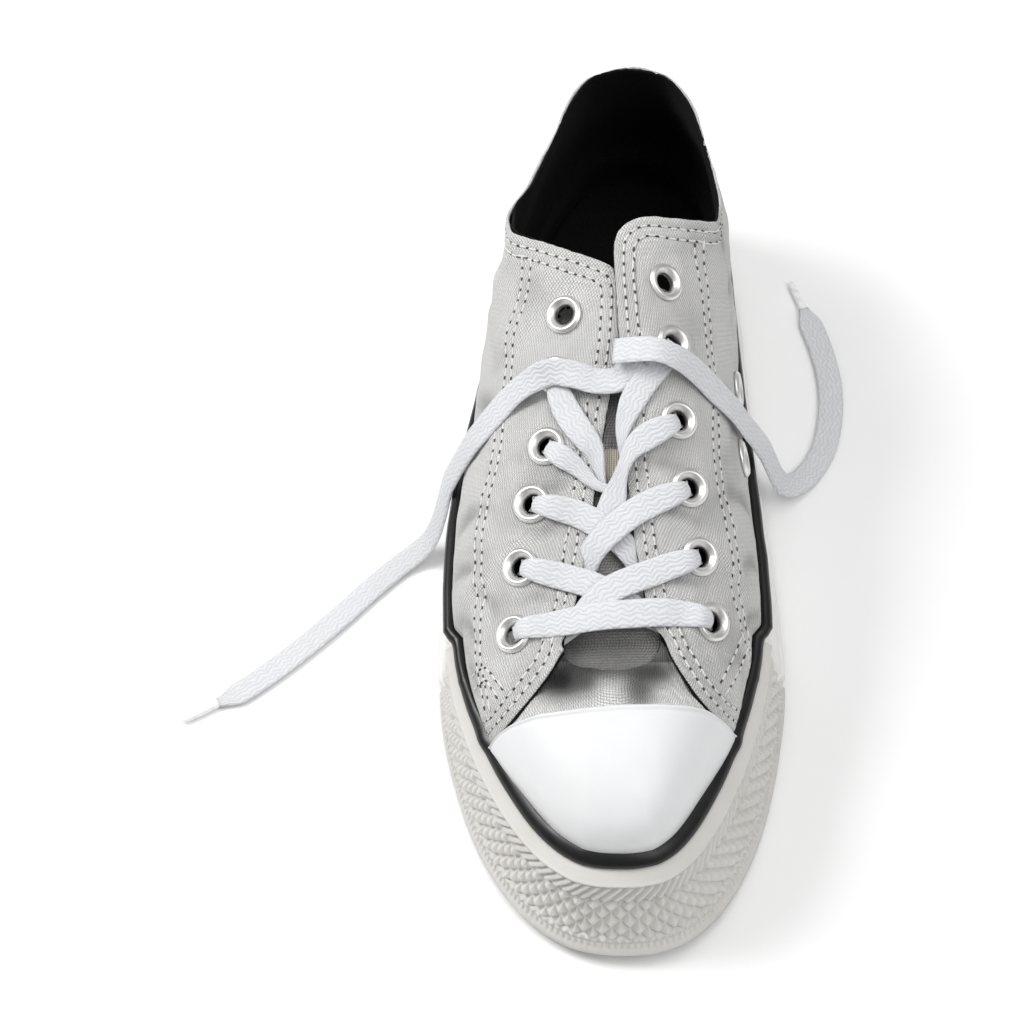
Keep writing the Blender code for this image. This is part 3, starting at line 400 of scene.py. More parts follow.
# Where the photograph was taken from, and how its picture points are read
PHOTO_MIDDLE = 512.0
PHOTO_FOCAL = 2183.95
EYE = np.array([0.0322, -0.4218, 0.6817])
YAW, PITCH, ROLL = 0.0250, 1.0100, 0.0164
AIM = (307.0, 492.0)
CLOSER = 1.15
SENSOR = 36.0

# Room and lamps: name, place, side in metres and watts
WORLD_STRENGTH = 0.46
LAMP_AIM = (0.0, 0.0, 0.03)
LAMPS = (
    ("key", (-0.95, 0.25, 1.10), 0.6, 14.0),
    ("top", (0.10, 0.10, 1.60), 1.1, 7.5),
    ("fill", (0.80, -0.55, 1.30), 0.9, 7.5),
)

# Smoothing of the opening's edge
RING = 1440
RING_SPREAD = 5.0

# Grid of the quarters: share of the outline from the heel to the front seam
QUARTER_END = 0.25 * (SEAM_QUARTER + SEAM_VAMP)
QUARTER_COLUMNS = 660
QUARTER_ROWS = 112
CLOTH = 0.0009
LINING = 0.0008

# Holes that the eyelets leave in canvas and lining, and how deep round an eyelet they reach
QUARTER_GAP, LINING_GAP, EYELET_DEEP = 0.0040, 0.0038, 0.006

# Canvas lies flat round an eyelet out to the first reach, and is free again at the second
FLAT_REACH, FREE_REACH = 0.0062, 0.0100
PUCKER_REACH, PUCKER_WIDTH, PUCKER = 0.0078, 0.0013, 0.00016

# Pitch of the canvas weave in mm
WEAVE_PITCH = 0.88

# Power that turns a share of light in the photograph into a share of reflected light
SHADE_POWER = 2.2

# Seams
ROW_NEAR = 0.0026
ROW_FAR = 0.0058
BORDER_HALF = 0.0016
BORDER_CLEAR = 0.0066
BACK_HALF = 0.0022
THREAD_LIFT = 0.00004
STITCH_SPACING = 0.0034
STITCH_LENGTH = 0.0023
STITCH_RADIUS = 0.00036
HOLE_RADIUS = 0.00038

# Relief beside an edge and beside the stay's seam, in mm: distance, height, waviness and half width
HEM_RELIEF = (
    (2.6, -0.26, 0.0, 0.62), (5.8, -0.26, 0.0, 0.62), (4.2, 0.12, 0.10, 0.9), (7.6, 0.10, 0.10, 1.3),
    (1.2, 0.10, 0.08, 0.8),
)
STAY_RELIEF = ((1.6, -0.24, 0.0, 0.55), (0.0, 0.14, 0.12, 0.9), (3.2, 0.08, 0.12, 1.2))

# Line between the eyelet stay and the side, as foot and rise
BORDERS = {
    -1: ((0.420, 0.955), (0.413, 0.893), (0.432, 0.697), (0.459, 0.498), (0.546, 0.465), (0.589, 0.416),
         (0.645, 0.383), (0.693, 0.324), (0.731, 0.295), (0.757, 0.270)),
    1: ((0.400, 0.950), (0.407, 0.884), (0.429, 0.602), (0.469, 0.452), (0.561, 0.475), (0.601, 0.435),
        (0.650, 0.367), (0.685, 0.170), (0.693, 0.030)),
}

# Creases pressed into the quarters: side, points as foot and rise, half width and depth in mm,
# and the gain that the depths are pressed with
CREASE_GAIN = 1.9
CREASES = (
    (-1, ((0.560, 0.10), (0.575, 0.30), (0.600, 0.50)), 2.6, -0.55),
    (-1, ((0.600, 0.06), (0.618, 0.24), (0.640, 0.42)), 2.2, -0.50),
    (-1, ((0.590, 0.12), (0.603, 0.30), (0.622, 0.46)), 3.0, 0.45),
    (-1, ((0.650, 0.08), (0.668, 0.22), (0.700, 0.34)), 2.4, -0.45),
    (-1, ((0.640, 0.30), (0.668, 0.44), (0.690, 0.52)), 2.0, -0.40),
    (-1, ((0.700, 0.12), (0.722, 0.22), (0.745, 0.26)), 2.0, -0.35),
    (-1, ((0.300, 0.35), (0.345, 0.50), (0.385, 0.62)), 4.0, -0.80),
    (-1, ((0.300, 0.62), (0.340, 0.74), (0.372, 0.84)), 3.4, -0.60),
    (-1, ((0.320, 0.48), (0.360, 0.62), (0.395, 0.72)), 3.6, 0.55),
    (-1, ((0.120, 0.55), (0.200, 0.60), (0.270, 0.66)), 4.0, -0.60),
    (-1, ((0.440, 0.22), (0.470, 0.34), (0.500, 0.42)), 3.6, -0.45),
    (-1, ((0.500, 0.50), (0.520, 0.62), (0.545, 0.70)), 2.2, -0.30),
    (-1, ((0.600, 0.62), (0.618, 0.76), (0.630, 0.92)), 1.9, -0.28),
    (-1, ((0.640, 0.66), (0.650, 0.80), (0.660, 0.94)), 1.8, -0.28),
    (-1, ((0.684, 0.62), (0.690, 0.78), (0.700, 0.92)), 1.9, -0.30),
    (1, ((0.540, 0.08), (0.560, 0.28), (0.590, 0.46)), 2.8, -0.55),
    (1, ((0.590, 0.06), (0.612, 0.22), (0.640, 0.36)), 2.4, -0.50),
    (1, ((0.575, 0.10), (0.592, 0.28), (0.615, 0.42)), 3.0, 0.40),
    (1, ((0.640, 0.06), (0.668, 0.20), (0.690, 0.30)), 2.2, -0.40),
    (1, ((0.700, 0.20), (0.718, 0.34), (0.735, 0.46)), 2.2, -0.40),
    (1, ((0.290, 0.40), (0.335, 0.52), (0.380, 0.64)), 4.0, -0.85),
    (1, ((0.300, 0.66), (0.340, 0.78), (0.372, 0.86)), 3.4, -0.60),
    (1, ((0.310, 0.52), (0.352, 0.64), (0.388, 0.74)), 3.6, 0.55),
    (1, ((0.120, 0.55), (0.195, 0.61), (0.260, 0.66)), 4.0, -0.60),
    (1, ((0.450, 0.24), (0.480, 0.34), (0.505, 0.42)), 3.6, -0.40),
    (1, ((0.596, 0.60), (0.612, 0.76), (0.625, 0.92)), 1.9, -0.28),
    (1, ((0.636, 0.60), (0.645, 0.78), (0.652, 0.94)), 1.8, -0.28),
    (1, ((0.676, 0.56), (0.686, 0.74), (0.694, 0.92)), 1.9, -0.30),
)

# Folds of the vamp behind the cap: station, out in mm, half width and height in mm
VAMP_FOLDS = (
    ((0.776, 2.0), (0.790, -1.0), (0.806, -4.0), 4.5, 2.6),
    ((0.778, 9.0), (0.790, 6.0), (0.806, 2.0), 3.0, 1.2),
    ((0.778, 27.0), (0.789, 20.0), (0.800, 14.0), 4.0, 2.4),
    ((0.777, 14.0), (0.788, 11.0), (0.800, 8.0), 2.6, -1.0),
    ((0.777, -10.0), (0.789, -10.5), (0.801, -12.0), 3.0, -1.2),
    ((0.776, -17.0), (0.786, -16.0), (0.797, -16.0), 2.6, 0.8),
)
VAMP_SINK = 0.0032
VAMP_ROWS = 110
TONGUE_END = 0.352
TONGUE_ROOT = (0.655, 0.712)

# Keeper on the tongue: width, length, thickness, rise over the tongue, station and how far it sits off
LOOP_WIDTH, LOOP_LENGTH, LOOP_THICKNESS, LOOP_RISE = 0.0075, 0.0105, 0.0009, 0.0012
LOOP_STATION = 0.566
LOOP_SHIFT = np.array([-0.0002, 0.0, 0.0010])

# Relief of the toe: levels up the wall, and steps round it
RIB_LOW, RIB_HIGH = 0.635, 0.812
RIB_STEP = 0.0037
RIB_SLANT = 1.8
LEDGE = (
    (0.004, 0.00110), (0.008, 0.00045), (0.014, 0.00004), (0.022, 0.00000), (0.029, 0.00025),
    (0.034, 0.00065), (0.040, 0.00085), (0.048, 0.00115), (0.060, 0.00165), (0.072, 0.00215),
    (0.084, 0.00265), (0.094, 0.00320), (0.102, 0.00390), (0.108, 0.00550),
)
DIAMOND_STEP = 0.0057
DIAMOND_ROWS = 4.6
STRIPE_RISE = 0.026
STRIPE_BACK = 0.0012
CAP_BACK = 0.0022

# Where the bead is thicker, on both sides by foot and at single turns: place, half width and size in mm
BEAD_SWELLS = ((0.652, 0.006, 0.55), (0.772, 0.010, 0.45), (0.700, 0.004, 0.15))
BEAD_LUMPS = ((0.388, 0.004, 0.35), (0.618, 0.005, 0.40))

# Foxing's foot lip and the thin bead under the stripe: level and depth
FOXING_LIP = (
    (FOXING_LOW, 0.00060), (FOXING_LOW + 0.006, 0.00015), (FOXING_LOW + 0.016, 0.0),
    (0.135, 0.0), (0.146, 0.00015), (0.153, 0.00050), (0.160, 0.00062),
)
FOXING_BEAD = (
    (0.755, 0.00066), (0.762, 0.00048), (0.772, 0.00018), (0.784, 0.00010), (0.796, 0.00018),
    (0.806, 0.00048), (0.814, 0.00068), (0.830, 0.00072), (0.865, 0.00064), (0.880, 0.00070),
    (FOXING_TOP, 0.0010), (FOXING_TOP, FOXING),
)

# Reach of the cap round the toe as turns, and how high up the canvas it may go
CAP_TURNS = (0.385, 0.615)
CAP_HIGH = 0.97

# Strands over the throat: picture points from the eyelet on, with lift and width in mm
STRANDS = (
    # row, side, points
    (1, -1, ((336, 592, 0.9, 7.4), (356, 588, 1.1, 8.2), (372, 586, 1.8, 8.4), (400, 583, 2.7, 8.4),
             (428, 580, 1.9, 8.4), (446, 580, 1.1, 8.2), (459, 581, 0.9, 7.4))),
    (2, 1, ((448, 539, 0.9, 7.6), (430, 545, 1.1, 8.2), (410, 553, 2.1, 8.2), (390, 563, 2.3, 8.2),
            (374, 577, 0.8, 7.6), (362, 588, -1.2, 6.6), (350, 597, -2.9, 5.8), (341, 603, -3.8, 5.2))),
    (2, -1, ((332, 543, 0.9, 7.6), (352, 549, 1.0, 8.0), (372, 555, 0.8, 8.0), (390, 561, 0.4, 8.0),
             (408, 571, -0.2, 7.4), (421, 580, -1.9, 6.4), (434, 586, -3.1, 5.6), (445, 590, -4.0, 5.0))),
    (3, 1, ((444, 478, 0.9, 7.4), (428, 485, 1.1, 8.2), (410, 496, 2.0, 8.2), (394, 511, 2.2, 8.2),
            (380, 524, 0.9, 8.0), (372, 536, -1.0, 7.4), (366, 548, -2.8, 6.8), (362, 556, -3.2, 6.4))),
    (3, -1, ((342, 489, 0.9, 7.6), (360, 493, 1.0, 8.0), (382, 502, 0.8, 8.0), (398, 514, 0.2, 7.6),
             (409, 526, -1.0, 7.2), (418, 540, -2.8, 6.6), (423, 548, -3.2, 6.4))),
    (4, -1, ((341, 438, 0.9, 7.4), (352, 443, 1.1, 7.2), (365, 454, 1.3, 5.4), (376, 465, 1.2, 3.8),
             (385, 471.5, 0.9, 2.7), (394, 472, 0.5, 3.0), (402, 476, 0.1, 3.6))),
    (4, 1, ((438, 417, 0.9, 7.4), (424, 427, 1.1, 8.2), (412.5, 439, 1.8, 6.0), (407, 452, 2.1, 3.8),
            (402, 466, 1.8, 5.0), (397, 480, 0.9, 8.0), (392, 494, 0.2, 8.4), (388, 506, -0.6, 8.0))),
    (5, -1, ((345, 388, 0.9, 7.4), (356, 406, 1.1, 8.2), (368, 423, 1.2, 8.0), (377.5, 437, 0.9, 6.6),
             (382.5, 450, 0.3, 4.6), (385, 463, -0.5, 2.8), (386, 472, -1.0, 2.4))),
    (5, 1, ((427, 375, 0.9, 7.6), (415, 393, 1.0, 8.0), (407.5, 409, 0.9, 6.2), (404.3, 423, 0.6, 4.6),
            (404, 437, 0.1, 2.6), (405, 447, -0.4, 2.2))),
)

# A strand's way up out of its eyelet in mm: toward the throat, up, width and curl; and where it has left
ENTRY = (
    (-0.4, -2.2, 4.4, -0.9), (0.1, -0.6, 4.6, -0.8), (1.3, 1.2, 4.9, -0.6), (3.4, 2.35, 5.9, -0.35),
    (5.8, 2.15, 7.0, -0.1),
)
ENTRY_REACH = 0.0082

# Start of the lateral free end, tucked under the other one, in millimetres
LATERAL_TUCK = ((11.0, 7.0, 95.0), (8.0, 5.0, 92.8), (4.8, 3.0, 90.2))

# Twist of each free end: place along it in mm, angle and half length in mm
END_TWIST = {"lateral": (30.0, 0.55, 7.0), "medial": (16.0, 0.15, 6.0)}

# Aglet: distance along it, and share of its half width
AGLET_PROFILE = (
    (-0.0004, 0.90), (0.0, 0.98), (0.0006, 1.0), (0.0060, 0.99), (0.0090, 0.93), (0.0110, 0.76),
    (0.0117, 0.62), (0.0120, 0.35),
)

# Stitching across the front corner of each quarter, as picture points
CORNER_ROWS = {
    -1: (((274, 634), (283, 627), (301, 648)), ((276, 646), (283, 638), (296, 655))),
    1: (((505, 603), (500, 618), (488, 641)), ((511, 613), (505, 628), (494, 649))),
}

# Painted shade in the hollows of the vamp and the tongue: picture place, half widths and depth
VAMP_SHADE = (
    ((349, 639), (24, 15), 0.88), ((372, 626), (24, 10), 0.60), ((404, 628), (32, 10), 0.55),
    ((432, 631), (19, 11), 0.58), ((418, 648), (14, 17), 0.52), ((372, 640), (9, 9), 0.35),
)
TONGUE_SHADE = (
    ((395, 614), (75, 20), 0.42), ((356, 607), (18, 14), 0.40), ((400, 560), (40, 20), 0.10),
    ((402, 425), (30, 60), 0.12),
)

# Picture height of the vamp's rear seam, and the depth of painted shade on the cloth above it
VAMP_SEAM = 622.5
SEAM_SHADE_DEPTH = 0.45

# Front edges of the quarters and rear edge of the cap, as picture points
FRONT_EDGES = {
    -1: ((362, 585), (355.8, 601.7), (343.3, 625), (326.7, 646.7), (308.3, 668.3), (285.8, 695), (276, 706)),
    1: ((424, 578), (432.5, 593.3), (451.7, 623.3), (470, 650), (486.7, 668.3), (503.3, 685), (512, 694)),
}
CAP_EDGE = (
    (272, 730), (285, 700), (294, 686), (308.3, 675.5), (330, 667.5), (370, 661.7), (403.3, 658.3),
    (436.7, 657.8), (461.7, 659.5), (478.3, 663.3), (491.7, 673.3), (503, 686.5), (514, 712),
)


def camera_axes():
    """Right, up and ahead of the camera that took the photograph."""
    level = math.cos(PITCH)
    ahead = np.array([math.sin(YAW) * level, math.cos(YAW) * level, -math.sin(PITCH)])
    right = np.cross(ahead, [0, 0, 1])
    right /= np.linalg.norm(right)
    up = np.cross(right, ahead)
    turned = math.cos(ROLL) * right + math.sin(ROLL) * up
    raised = math.cos(ROLL) * up - math.sin(ROLL) * right
    return turned, raised, ahead


CAMERA_RIGHT, CAMERA_UP, CAMERA_AHEAD = camera_axes()


def picture_points(points):
    """Where points of the shoe stand in the photograph."""
    away = np.asarray(points) - EYE
    deep = away @ CAMERA_AHEAD
    across = PHOTO_MIDDLE + PHOTO_FOCAL * (away @ CAMERA_RIGHT) / deep
    down = PHOTO_MIDDLE - PHOTO_FOCAL * (away @ CAMERA_UP) / deep
    return np.stack([across, down], axis=-1)


def soft_shade(points, spots, seam=None):
    """Painted shade of a surface near picture places and above a seam, 0 to 1."""
    where = picture_points(points)
    light = np.ones(where.shape[:-1])
    for place, half, depth in spots:
        away = (where - np.array(place)) / np.array(half)
        light = light * (1 - depth * np.exp(-(away ** 2).sum(axis=-1)))
    if seam is not None:
        light = light * (1 - SEAM_SHADE_DEPTH * smooth_step(-where[..., 1], -seam - 0.8, -seam + 0.8))
    return 1 - light ** SHADE_POWER


def blur(padded, kernel):
    """Blur each column of a padded table."""
    kernel = kernel / kernel.sum()
    return np.stack([np.convolve(column, kernel, "valid") for column in padded.T], axis=1)


def smooth_ring(values, spread):
    """Blur rows of values round a closed ring."""
    reach = int(3 * spread)
    kernel = np.exp(-0.5 * (np.arange(-reach, reach + 1) / spread) ** 2)
    return blur(np.concatenate([values[-reach:], values, values[:reach]]), kernel)


def smooth_rows(rows, reach):
    """Blur rows along their order."""
    padded = np.vstack([np.repeat(rows[:1], reach, axis=0), rows, np.repeat(rows[-1:], reach, axis=0)])
    return blur(padded, np.hanning(2 * reach + 3)[1:-1])


def opening_ring():
    """Table of the opening's edge, arch and bulge, with its knots smoothed out."""
    edge, arch, bulge = knotted_edge(np.arange(RING) / RING)
    ring = smooth_ring(np.column_stack([edge, arch, bulge]), RING_SPREAD)
    return np.vstack([ring, ring[:1]])


OPENING = opening_ring()


def opening_edge(turn):
    """Give the point of the smoothed edge, the arch and the bulge at a turn."""
    turn = np.mod(np.asarray(turn, float), 1.0)
    knots = np.arange(RING + 1) / RING
    columns = [np.interp(turn, knots, OPENING[:, axis]) for axis in range(5)]
    return np.stack(columns[:3], axis=-1), columns[3], columns[4]


def smooth_step(value, low, high):
    """Rise softly from 0 at low to 1 at high."""
    part = np.clip((value - low) / (high - low), 0, 1)
    return part * part * (3 - 2 * part)


def bell(away, width):
    """Fall from 1 at 0 toward nothing about two widths away."""
    return np.exp(-(away / width) ** 2)


def unit(rows):
    """Scale rows of vectors to length 1."""
    return rows / np.maximum(np.linalg.norm(rows, axis=-1, keepdims=True), 1e-12)


def grid_normals(points):
    """Outward direction of a grid whose columns run round the shoe and rows run up."""
    across, up = np.gradient(points, axis=0), np.gradient(points, axis=1)
    return unit(np.cross(up, across))


def gather_noise(seed, count, shortest, longest):
    """Waves in space that add up to a soft uneven surface."""
    draw = np.random.default_rng(seed)
    length = np.exp(draw.uniform(math.log(shortest), math.log(longest), count))
    way = unit(draw.normal(size=(count, 3)))
    return way * (2 * math.pi / length)[:, None], draw.uniform(0, 2 * math.pi, count)


def uneven(points, seed, count, shortest, longest):
    """Read the soft uneven surface at points, about -1 to 1."""
    waves, shift = gather_noise(seed, count, shortest, longest)
    flat = points.reshape(-1, 3)
    total = np.zeros(len(flat))
    for wave, start in zip(waves, shift):
        total += np.sin(flat @ wave + start)
    return (total / math.sqrt(count)).reshape(points.shape[:-1])


def line_distance(points, line):
    """Distance of points from a line of points, and how far along it they are."""
    flat = points.reshape(-1, 3)
    best = np.full(len(flat), 1e9)
    along = np.zeros(len(flat))
    run = 0.0
    for start, end in zip(line, line[1:]):
        way = end - start
        size = np.linalg.norm(way)
        part = np.clip((flat - start) @ way / size ** 2, 0, 1)
        gap = np.linalg.norm(flat - start - part[:, None] * way, axis=1)
        nearer = gap < best
        best[nearer] = gap[nearer]
        along[nearer] = run + part[nearer] * size
        run += size
    return best.reshape(points.shape[:-1]), along.reshape(points.shape[:-1]), run


def build_mesh(name, verts, faces, material, maps=None, marks=None, ends=()):
    """Make an object of quads, with a surface map in millimetres and named marks on its points."""
    mesh = bpy.data.meshes.new(name)
    faces = np.asarray(faces, dtype=np.int32)
    corners = list(faces.reshape(-1)) + [index for end in ends for index in end]
    starts = list(range(0, 4 * len(faces), 4))
    reach = 4 * len(faces)
    for end in ends:
        starts.append(reach)
        reach += len(end)
    mesh.vertices.add(len(verts))
    mesh.vertices.foreach_set("co", np.asarray(verts, dtype=np.float32).reshape(-1))
    mesh.loops.add(len(corners))
    mesh.loops.foreach_set("vertex_index", corners)
    mesh.polygons.add(len(starts))
    mesh.polygons.foreach_set("loop_start", starts)
    mesh.update(calc_edges=True)
    mesh.validate()
    if maps is not None:
        layer = mesh.uv_layers.new(name="surface")
        where = np.zeros(len(mesh.loops), dtype=np.int32)
        mesh.loops.foreach_get("vertex_index", where)
        layer.data.foreach_set("uv", np.asarray(maps, dtype=np.float32)[where].reshape(-1))
    for word, values in (marks or {}).items():
        mark = mesh.attributes.new(word, "FLOAT", "POINT")
        mark.data.foreach_set("value", np.asarray(values, dtype=np.float32).reshape(-1))
    mesh.materials.append(material)
    mesh.shade_smooth()
    made = bpy.data.objects.new(name, mesh)
    bpy.context.scene.collection.objects.link(made)
    return made


def grid_faces(columns, rows, closed=False, keep=None):
    """Quads of a grid, facing out, without those that keep says to leave."""
    one = np.arange(columns if closed else columns - 1)
    two = (one + 1) % columns
    low = np.arange(rows - 1)
    first, second = one[:, None] * rows + low, two[:, None] * rows + low
    faces = np.stack([first, first + 1, second + 1, second], axis=-1).reshape(-1, 4)
    if keep is not None:
        wanted = keep.reshape(-1)
        faces = faces[wanted[faces].any(axis=1)]
    return faces


def grid_map(points, middle_columns):
    """Surface map of a grid in millimetres: up each column, and along each row from a middle column."""
    rise = np.linalg.norm(np.diff(points, axis=1), axis=-1)
    up = np.concatenate([np.zeros((len(points), 1)), np.cumsum(rise, axis=1)], axis=1)
    run = np.linalg.norm(np.diff(points, axis=0), axis=-1)
    along = np.concatenate([np.zeros((1, points.shape[1])), np.cumsum(run, axis=0)], axis=0)
    out = np.zeros_like(along)
    between = [(low + high) // 2 for low, high in zip(middle_columns, middle_columns[1:])]
    bounds = [0, *between, len(points)]
    for middle, start, end in zip(middle_columns, bounds, bounds[1:]):
        out[start:end] = along[start:end] - along[middle] + along[middle].mean()
    return np.stack([out, up], axis=-1).reshape(-1, 2) * 1000


def side_turn(side, foot):
    """Turn of a foot on the medial side, 1, or the lateral side, -1."""
    return foot / 2 if side > 0 else 1 - np.asarray(foot) / 2


def on_upper(turn, rise, reach):
    """Place and outward direction of a piece of this reach that lies on the upper."""
    place = upper_skin(turn, rise, LAP * lapped(turn))
    axis = upper_normal(turn, rise)
    round_it, up_it = np.linspace(-0.02, 0.02, 41), np.linspace(-0.3, 0.3, 41)
    turns, rises = np.meshgrid(turn + round_it, np.clip(rise + up_it, 0, 1))
    away = upper_skin(turns, rises, LAP * lapped(turns)) - place
    height = away @ axis
    near = np.linalg.norm(away - height[..., None] * axis, axis=-1) < reach
    return place + axis * max(0.0, float(height[near & (height < reach)].max())), axis


def eyelet_places():
    """Place and direction of each eyelet and vent by name."""
    places = {}
    for side, word, column in ((-1, "lateral", 0), (1, "medial", 2)):
        for row, values in enumerate(EYELETS, 1):
            foot, rise = values[column:column + 2]
            places[f"eyelet_{word}_{row}"] = on_upper(side_turn(side, foot), rise, EYELET_WIDTH / 2)
    for count, (foot, rise) in enumerate(VENTS, 1):
        places[f"vent_eyelet_{count}"] = on_upper(side_turn(1, foot), rise, EYELET_WIDTH / 2)
    return places


EYELET_PLACES = eyelet_places()


def front_feet(side):
    """Foot at which a quarter ends on each of its rows, from the picture's edge."""
    line = np.array(FRONT_EDGES[side])
    foots = np.linspace(0.715, 0.835, 120)
    ends = []
    for rise in np.linspace(0, 1, 41):
        spots = picture_points(skin(side, foots, np.full(120, rise), LAP))
        past = side * (np.interp(spots[:, 1], line[:, 1], line[:, 0]) - spots[:, 0])
        beyond = np.nonzero(past > 0)[0]
        ends.append(foots[beyond[0]] if len(beyond) else foots[-1])
    ends = np.clip(np.array(ends), 0.745, 0.812)
    return smooth_rows(ends[:, None], 4)[:, 0]


def skin(side, foot, rise, lift):
    """Point of the canvas at a foot and rise on one side."""
    return upper_skin(side_turn(side, np.asarray(foot, float)), np.asarray(rise, float), lift)


FRONT_FEET = {side: front_feet(side) for side in (-1, 1)}


def front_foot(side, rise):
    """Foot at which a quarter ends at a rise."""
    return np.interp(rise, np.linspace(0, 1, 41), FRONT_FEET[side])


def border_line(side):
    """Points of the seam between eyelet stay and side panel."""
    route = round_curve(np.array(BORDERS[side]), 120)
    return skin(side, route[:, 0], route[:, 1], LAP)


def quarter_edges():
    """Free edge of the quarters: front seam, throat and collar, one side after the other."""
    lines = {}
    for side in (-1, 1):
        rise = np.linspace(0.0, 1.0, 60, endpoint=False)
        seam = skin(side, front_foot(side, rise), rise, LAP)
        top = skin(side, np.linspace(front_foot(side, 1.0), 0.0, 500), np.ones(500), LAP)
        lines[side] = np.vstack([seam, top])
    return lines


def flatten_under(points, normals):
    """Press the canvas flat under each eyelet, with faint puckers round it."""
    for place, axis in EYELET_PLACES.values():
        away = points - place
        height = away @ axis
        out = np.linalg.norm(away - height[..., None] * axis, axis=-1)
        near = (1 - smooth_step(out, FLAT_REACH, FREE_REACH)) * (np.abs(height) < 0.008)
        points = points - axis * ((height + 0.00010) * near)[..., None]
        ring = bell(out - PUCKER_REACH, PUCKER_WIDTH) * (np.abs(height) < EYELET_DEEP)
        spin = np.arctan2(away @ np.cross(axis, [0, 0, 1.0]), away @ np.array([0, 0, 1.0]))
        pucker = PUCKER * np.sin(5 * spin + place[1] * 900) * ring
        points = points + normals * pucker[..., None]
    return points


def seam_relief(relief, gap, along, seed, quick, slow):
    """Height beside a seam: pulled rows with wavy cloth puffed between and behind them."""
    gap, along = gap * 1000, along * 1000
    wave = np.sin(along * quick + seed) * 0.5 + np.sin(along * slow + 2 * seed) * 0.5
    height = np.zeros(gap.shape)
    for place, tall, waviness, width in relief:
        height += (tall + waviness * wave) * bell(gap - place, width)
    return height / 1000


def rolled_edge(edge, face, out, radius, angles, tail):
    """Rows that roll a sheet's edge over to its back and end in a short tail."""
    rows = []
    for angle in angles:
        turn = math.radians(angle)
        rows.append(edge + face * radius * (math.cos(turn) - 1) + out * radius * math.sin(turn))
    rows.append(rows[-1] - out * tail)
    return rows


def clear_of_eyelets(points, reach):
    """Say which points of a sheet stay where the eyelets pierce it."""
    keep = np.ones(points.shape[:2], bool)
    for place, axis in EYELET_PLACES.values():
        away = points - place
        level = away @ axis
        out = np.linalg.norm(away - level[..., None] * axis, axis=-1)
        keep &= ~((out < reach) & (np.abs(level) < EYELET_DEEP))
    return keep


